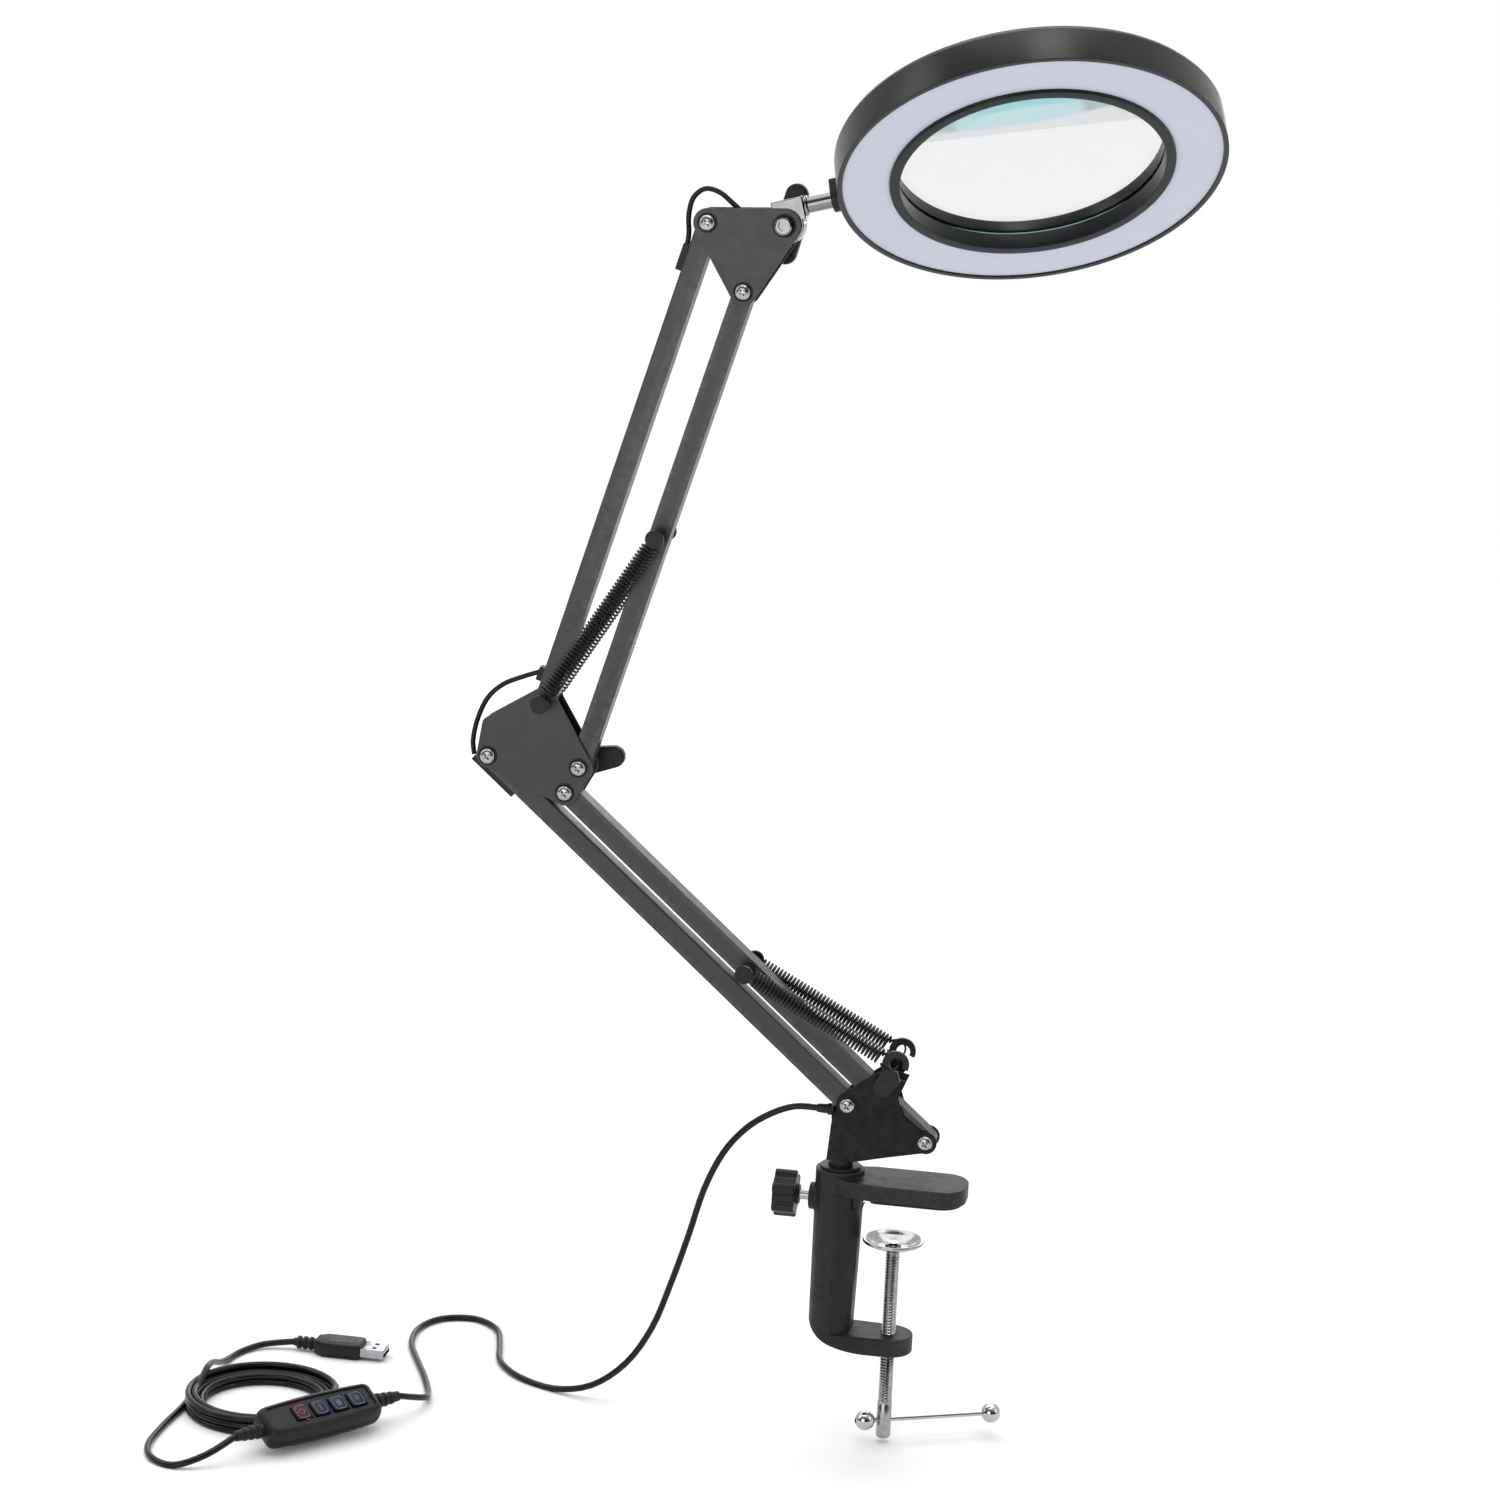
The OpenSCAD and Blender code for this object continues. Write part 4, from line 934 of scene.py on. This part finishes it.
for name, material, slot, width, segments in (
        ("clamp_frame", CAST, "cast_black", 0.7, 3),
        ("jaw_pad", RUBBER, "rubber_black", 0.3, 2),
        ("column_bush", PLASTIC, "plastic_black", 0.35, 2),
        ("lock_knob", PLASTIC, "plastic_black", 0.7, 3),
        ("lock_stud", ZINC, "zinc", 0.3, 2),
        ("base_spring_hooks", OXIDE, "steel_black", 0.3, 2),
        ("cord_gland", PLASTIC, "plastic_black", 0.25, 2),
        ("base_bracket", ARM_SHADED, "arm_black", 0.28, 2),
        ("pivot_post", OXIDE, "steel_black", 0.3, 2),
        *((f"{place}_pivot_nuts", ZINC, "zinc", 0.25, 2) for place in ("base", "elbow", "head")),
        *((name, PLASTIC, "plastic_black", 0.4, 2) for name in (
            "lower_cable_guide", "upper_cable_clips", "lower_spring_post", "upper_spring_post",
            "elbow_spring_post")),
        *((f"{place}_plate_{side}", ARM, "arm_black", 0.35, 3)
          for place in ("elbow", "head") for side in ("front", "rear")),
        *((f"{place}_wing_nut", PLASTIC, "plastic_black", 1.2, 4) for place in ("elbow", "head")),
        ("head_yoke", CHROME_SHADED, "chrome", 0.6, 3),
        ("head_stem", CHROME_SHADED, "chrome", 0.3, 3),
        ("stem_mount", PLASTIC, "plastic_black", 0.5, 3)):
    rounded(name, material, width, segments)
for name in ("lower_main_tube", "lower_tie_tube", "upper_main_tube", "upper_tie_tube"):
    rounded(name, ARM, 0.2, 2, long_edges=0.9)
for name, material in (("pad_rivet", CHROME), ("tommy_bar", CHROME), ("tommy_balls", CHROME),
                       ("led_ring", BOARD)):
    kept = frame["nodes"][name]
    kept.data.materials.clear()
    kept.data.materials.append(material)

# ---------------------------------------------------------------- floor and light

paper = shader("floor", (0.86, 0.86, 0.86), 0.9, mottle=(3, 0.99, 1.01), grain=(60, 0.02, 0.1),
               Specular_IOR_Level=0.1)
FLOOR_R, FLOOR_SIDES = 7.0, 96
rim = [Vector((FLOOR_R * math.cos(math.tau * k / FLOOR_SIDES),
               FLOOR_R * math.sin(math.tau * k / FLOOR_SIDES), FLOOR_Z * MM))
       for k in range(FLOOR_SIDES)]
disc = bpy.data.meshes.new("floor")
disc.from_pydata(rim, [], [tuple(range(FLOOR_SIDES))])
disc.materials.append(paper)
floor = bpy.data.objects.new("floor", disc)
bpy.context.scene.collection.objects.link(floor)


def soft_box(name, at, aim, wide, tall, power):
    """A rectangular light that shows in reflections but not to the camera or through glass."""
    data = bpy.data.lights.new(name, "AREA")
    data.energy, data.shape, data.size, data.size_y = power, "RECTANGLE", wide, tall
    light = bpy.data.objects.new(name, data)
    light.location = at
    light.rotation_euler = (Vector(aim) - Vector(at)).to_track_quat("-Z", "Y").to_euler()
    light.visible_camera = light.visible_transmission = False
    bpy.context.scene.collection.objects.link(light)


soft_box("front", (-0.6, -2.3, 0.62), (-0.1, 0, 0.45), 1.5, 1.3, 14)
soft_box("top", (0.28, -0.62, 1.9), (0.03, 0, 0.5), 0.5, 0.5, 2.2)
soft_box("back", (-0.3, 2.4, 0.85), (-0.05, 0, 0.1), 1.6, 0.8, 7)
soft_box("left", (-1.9, -0.5, 1.2), (-0.1, 0, 0.3), 0.8, 1.5, 6)
soft_box("right", (1.8, -0.3, 0.8), (-0.05, 0, 0.1), 0.6, 1.4, 4)
sun = bpy.data.objects.new("sky", bpy.data.lights.new("sky", "SUN"))
sun.data.energy, sun.data.angle = 1.5, math.radians(70)      # wide, so its shadows are soft
sun.rotation_euler = (math.radians(-10), math.radians(-8), 0)
bpy.context.scene.collection.objects.link(sun)

# The sky is bright above and behind the lamp and dark in front of it, white where it is seen
# straight on, and as bright as the floor through the lens.
SKY_TOP, BEHIND_GLASS = (0, 0.75, 0.66), 0.26
world = bpy.data.worlds.new("studio")
bpy.context.scene.world = world
world.use_nodes = True
tree = world.node_tree
direction = node(tree, "ShaderNodeTexCoord")
towards = node(tree, "ShaderNodeVectorMath", operation="DOT_PRODUCT")
towards.inputs[1].default_value = SKY_TOP
tree.links.new(direction.outputs["Generated"], towards.inputs[0])
span = node(tree, "ShaderNodeMapRange", interpolation_type="SMOOTHSTEP")
for key, value in (("From Min", -0.5), ("From Max", 0.7), ("To Min", 0.02), ("To Max", 0.92)):
    span.inputs[key].default_value = value
tree.links.new(towards.outputs["Value"], span.inputs["Value"])
seen = node(tree, "ShaderNodeLightPath")
white = node(tree, "ShaderNodeMath", operation="MAXIMUM")
tree.links.new(span.outputs["Result"], white.inputs[0])
tree.links.new(seen.outputs["Is Camera Ray"], white.inputs[1])
through = node(tree, "ShaderNodeMath", operation="MULTIPLY_ADD")
through.inputs[1].default_value = BEHIND_GLASS
tree.links.new(seen.outputs["Is Transmission Ray"], through.inputs[0])
tree.links.new(white.outputs["Value"], through.inputs[2])
tree.links.new(through.outputs["Value"], tree.nodes["Background"].inputs["Strength"])
tree.nodes["Background"].inputs["Color"].default_value = (1, 1, 1, 1)
bpy.context.scene.view_settings.view_transform = "Standard"
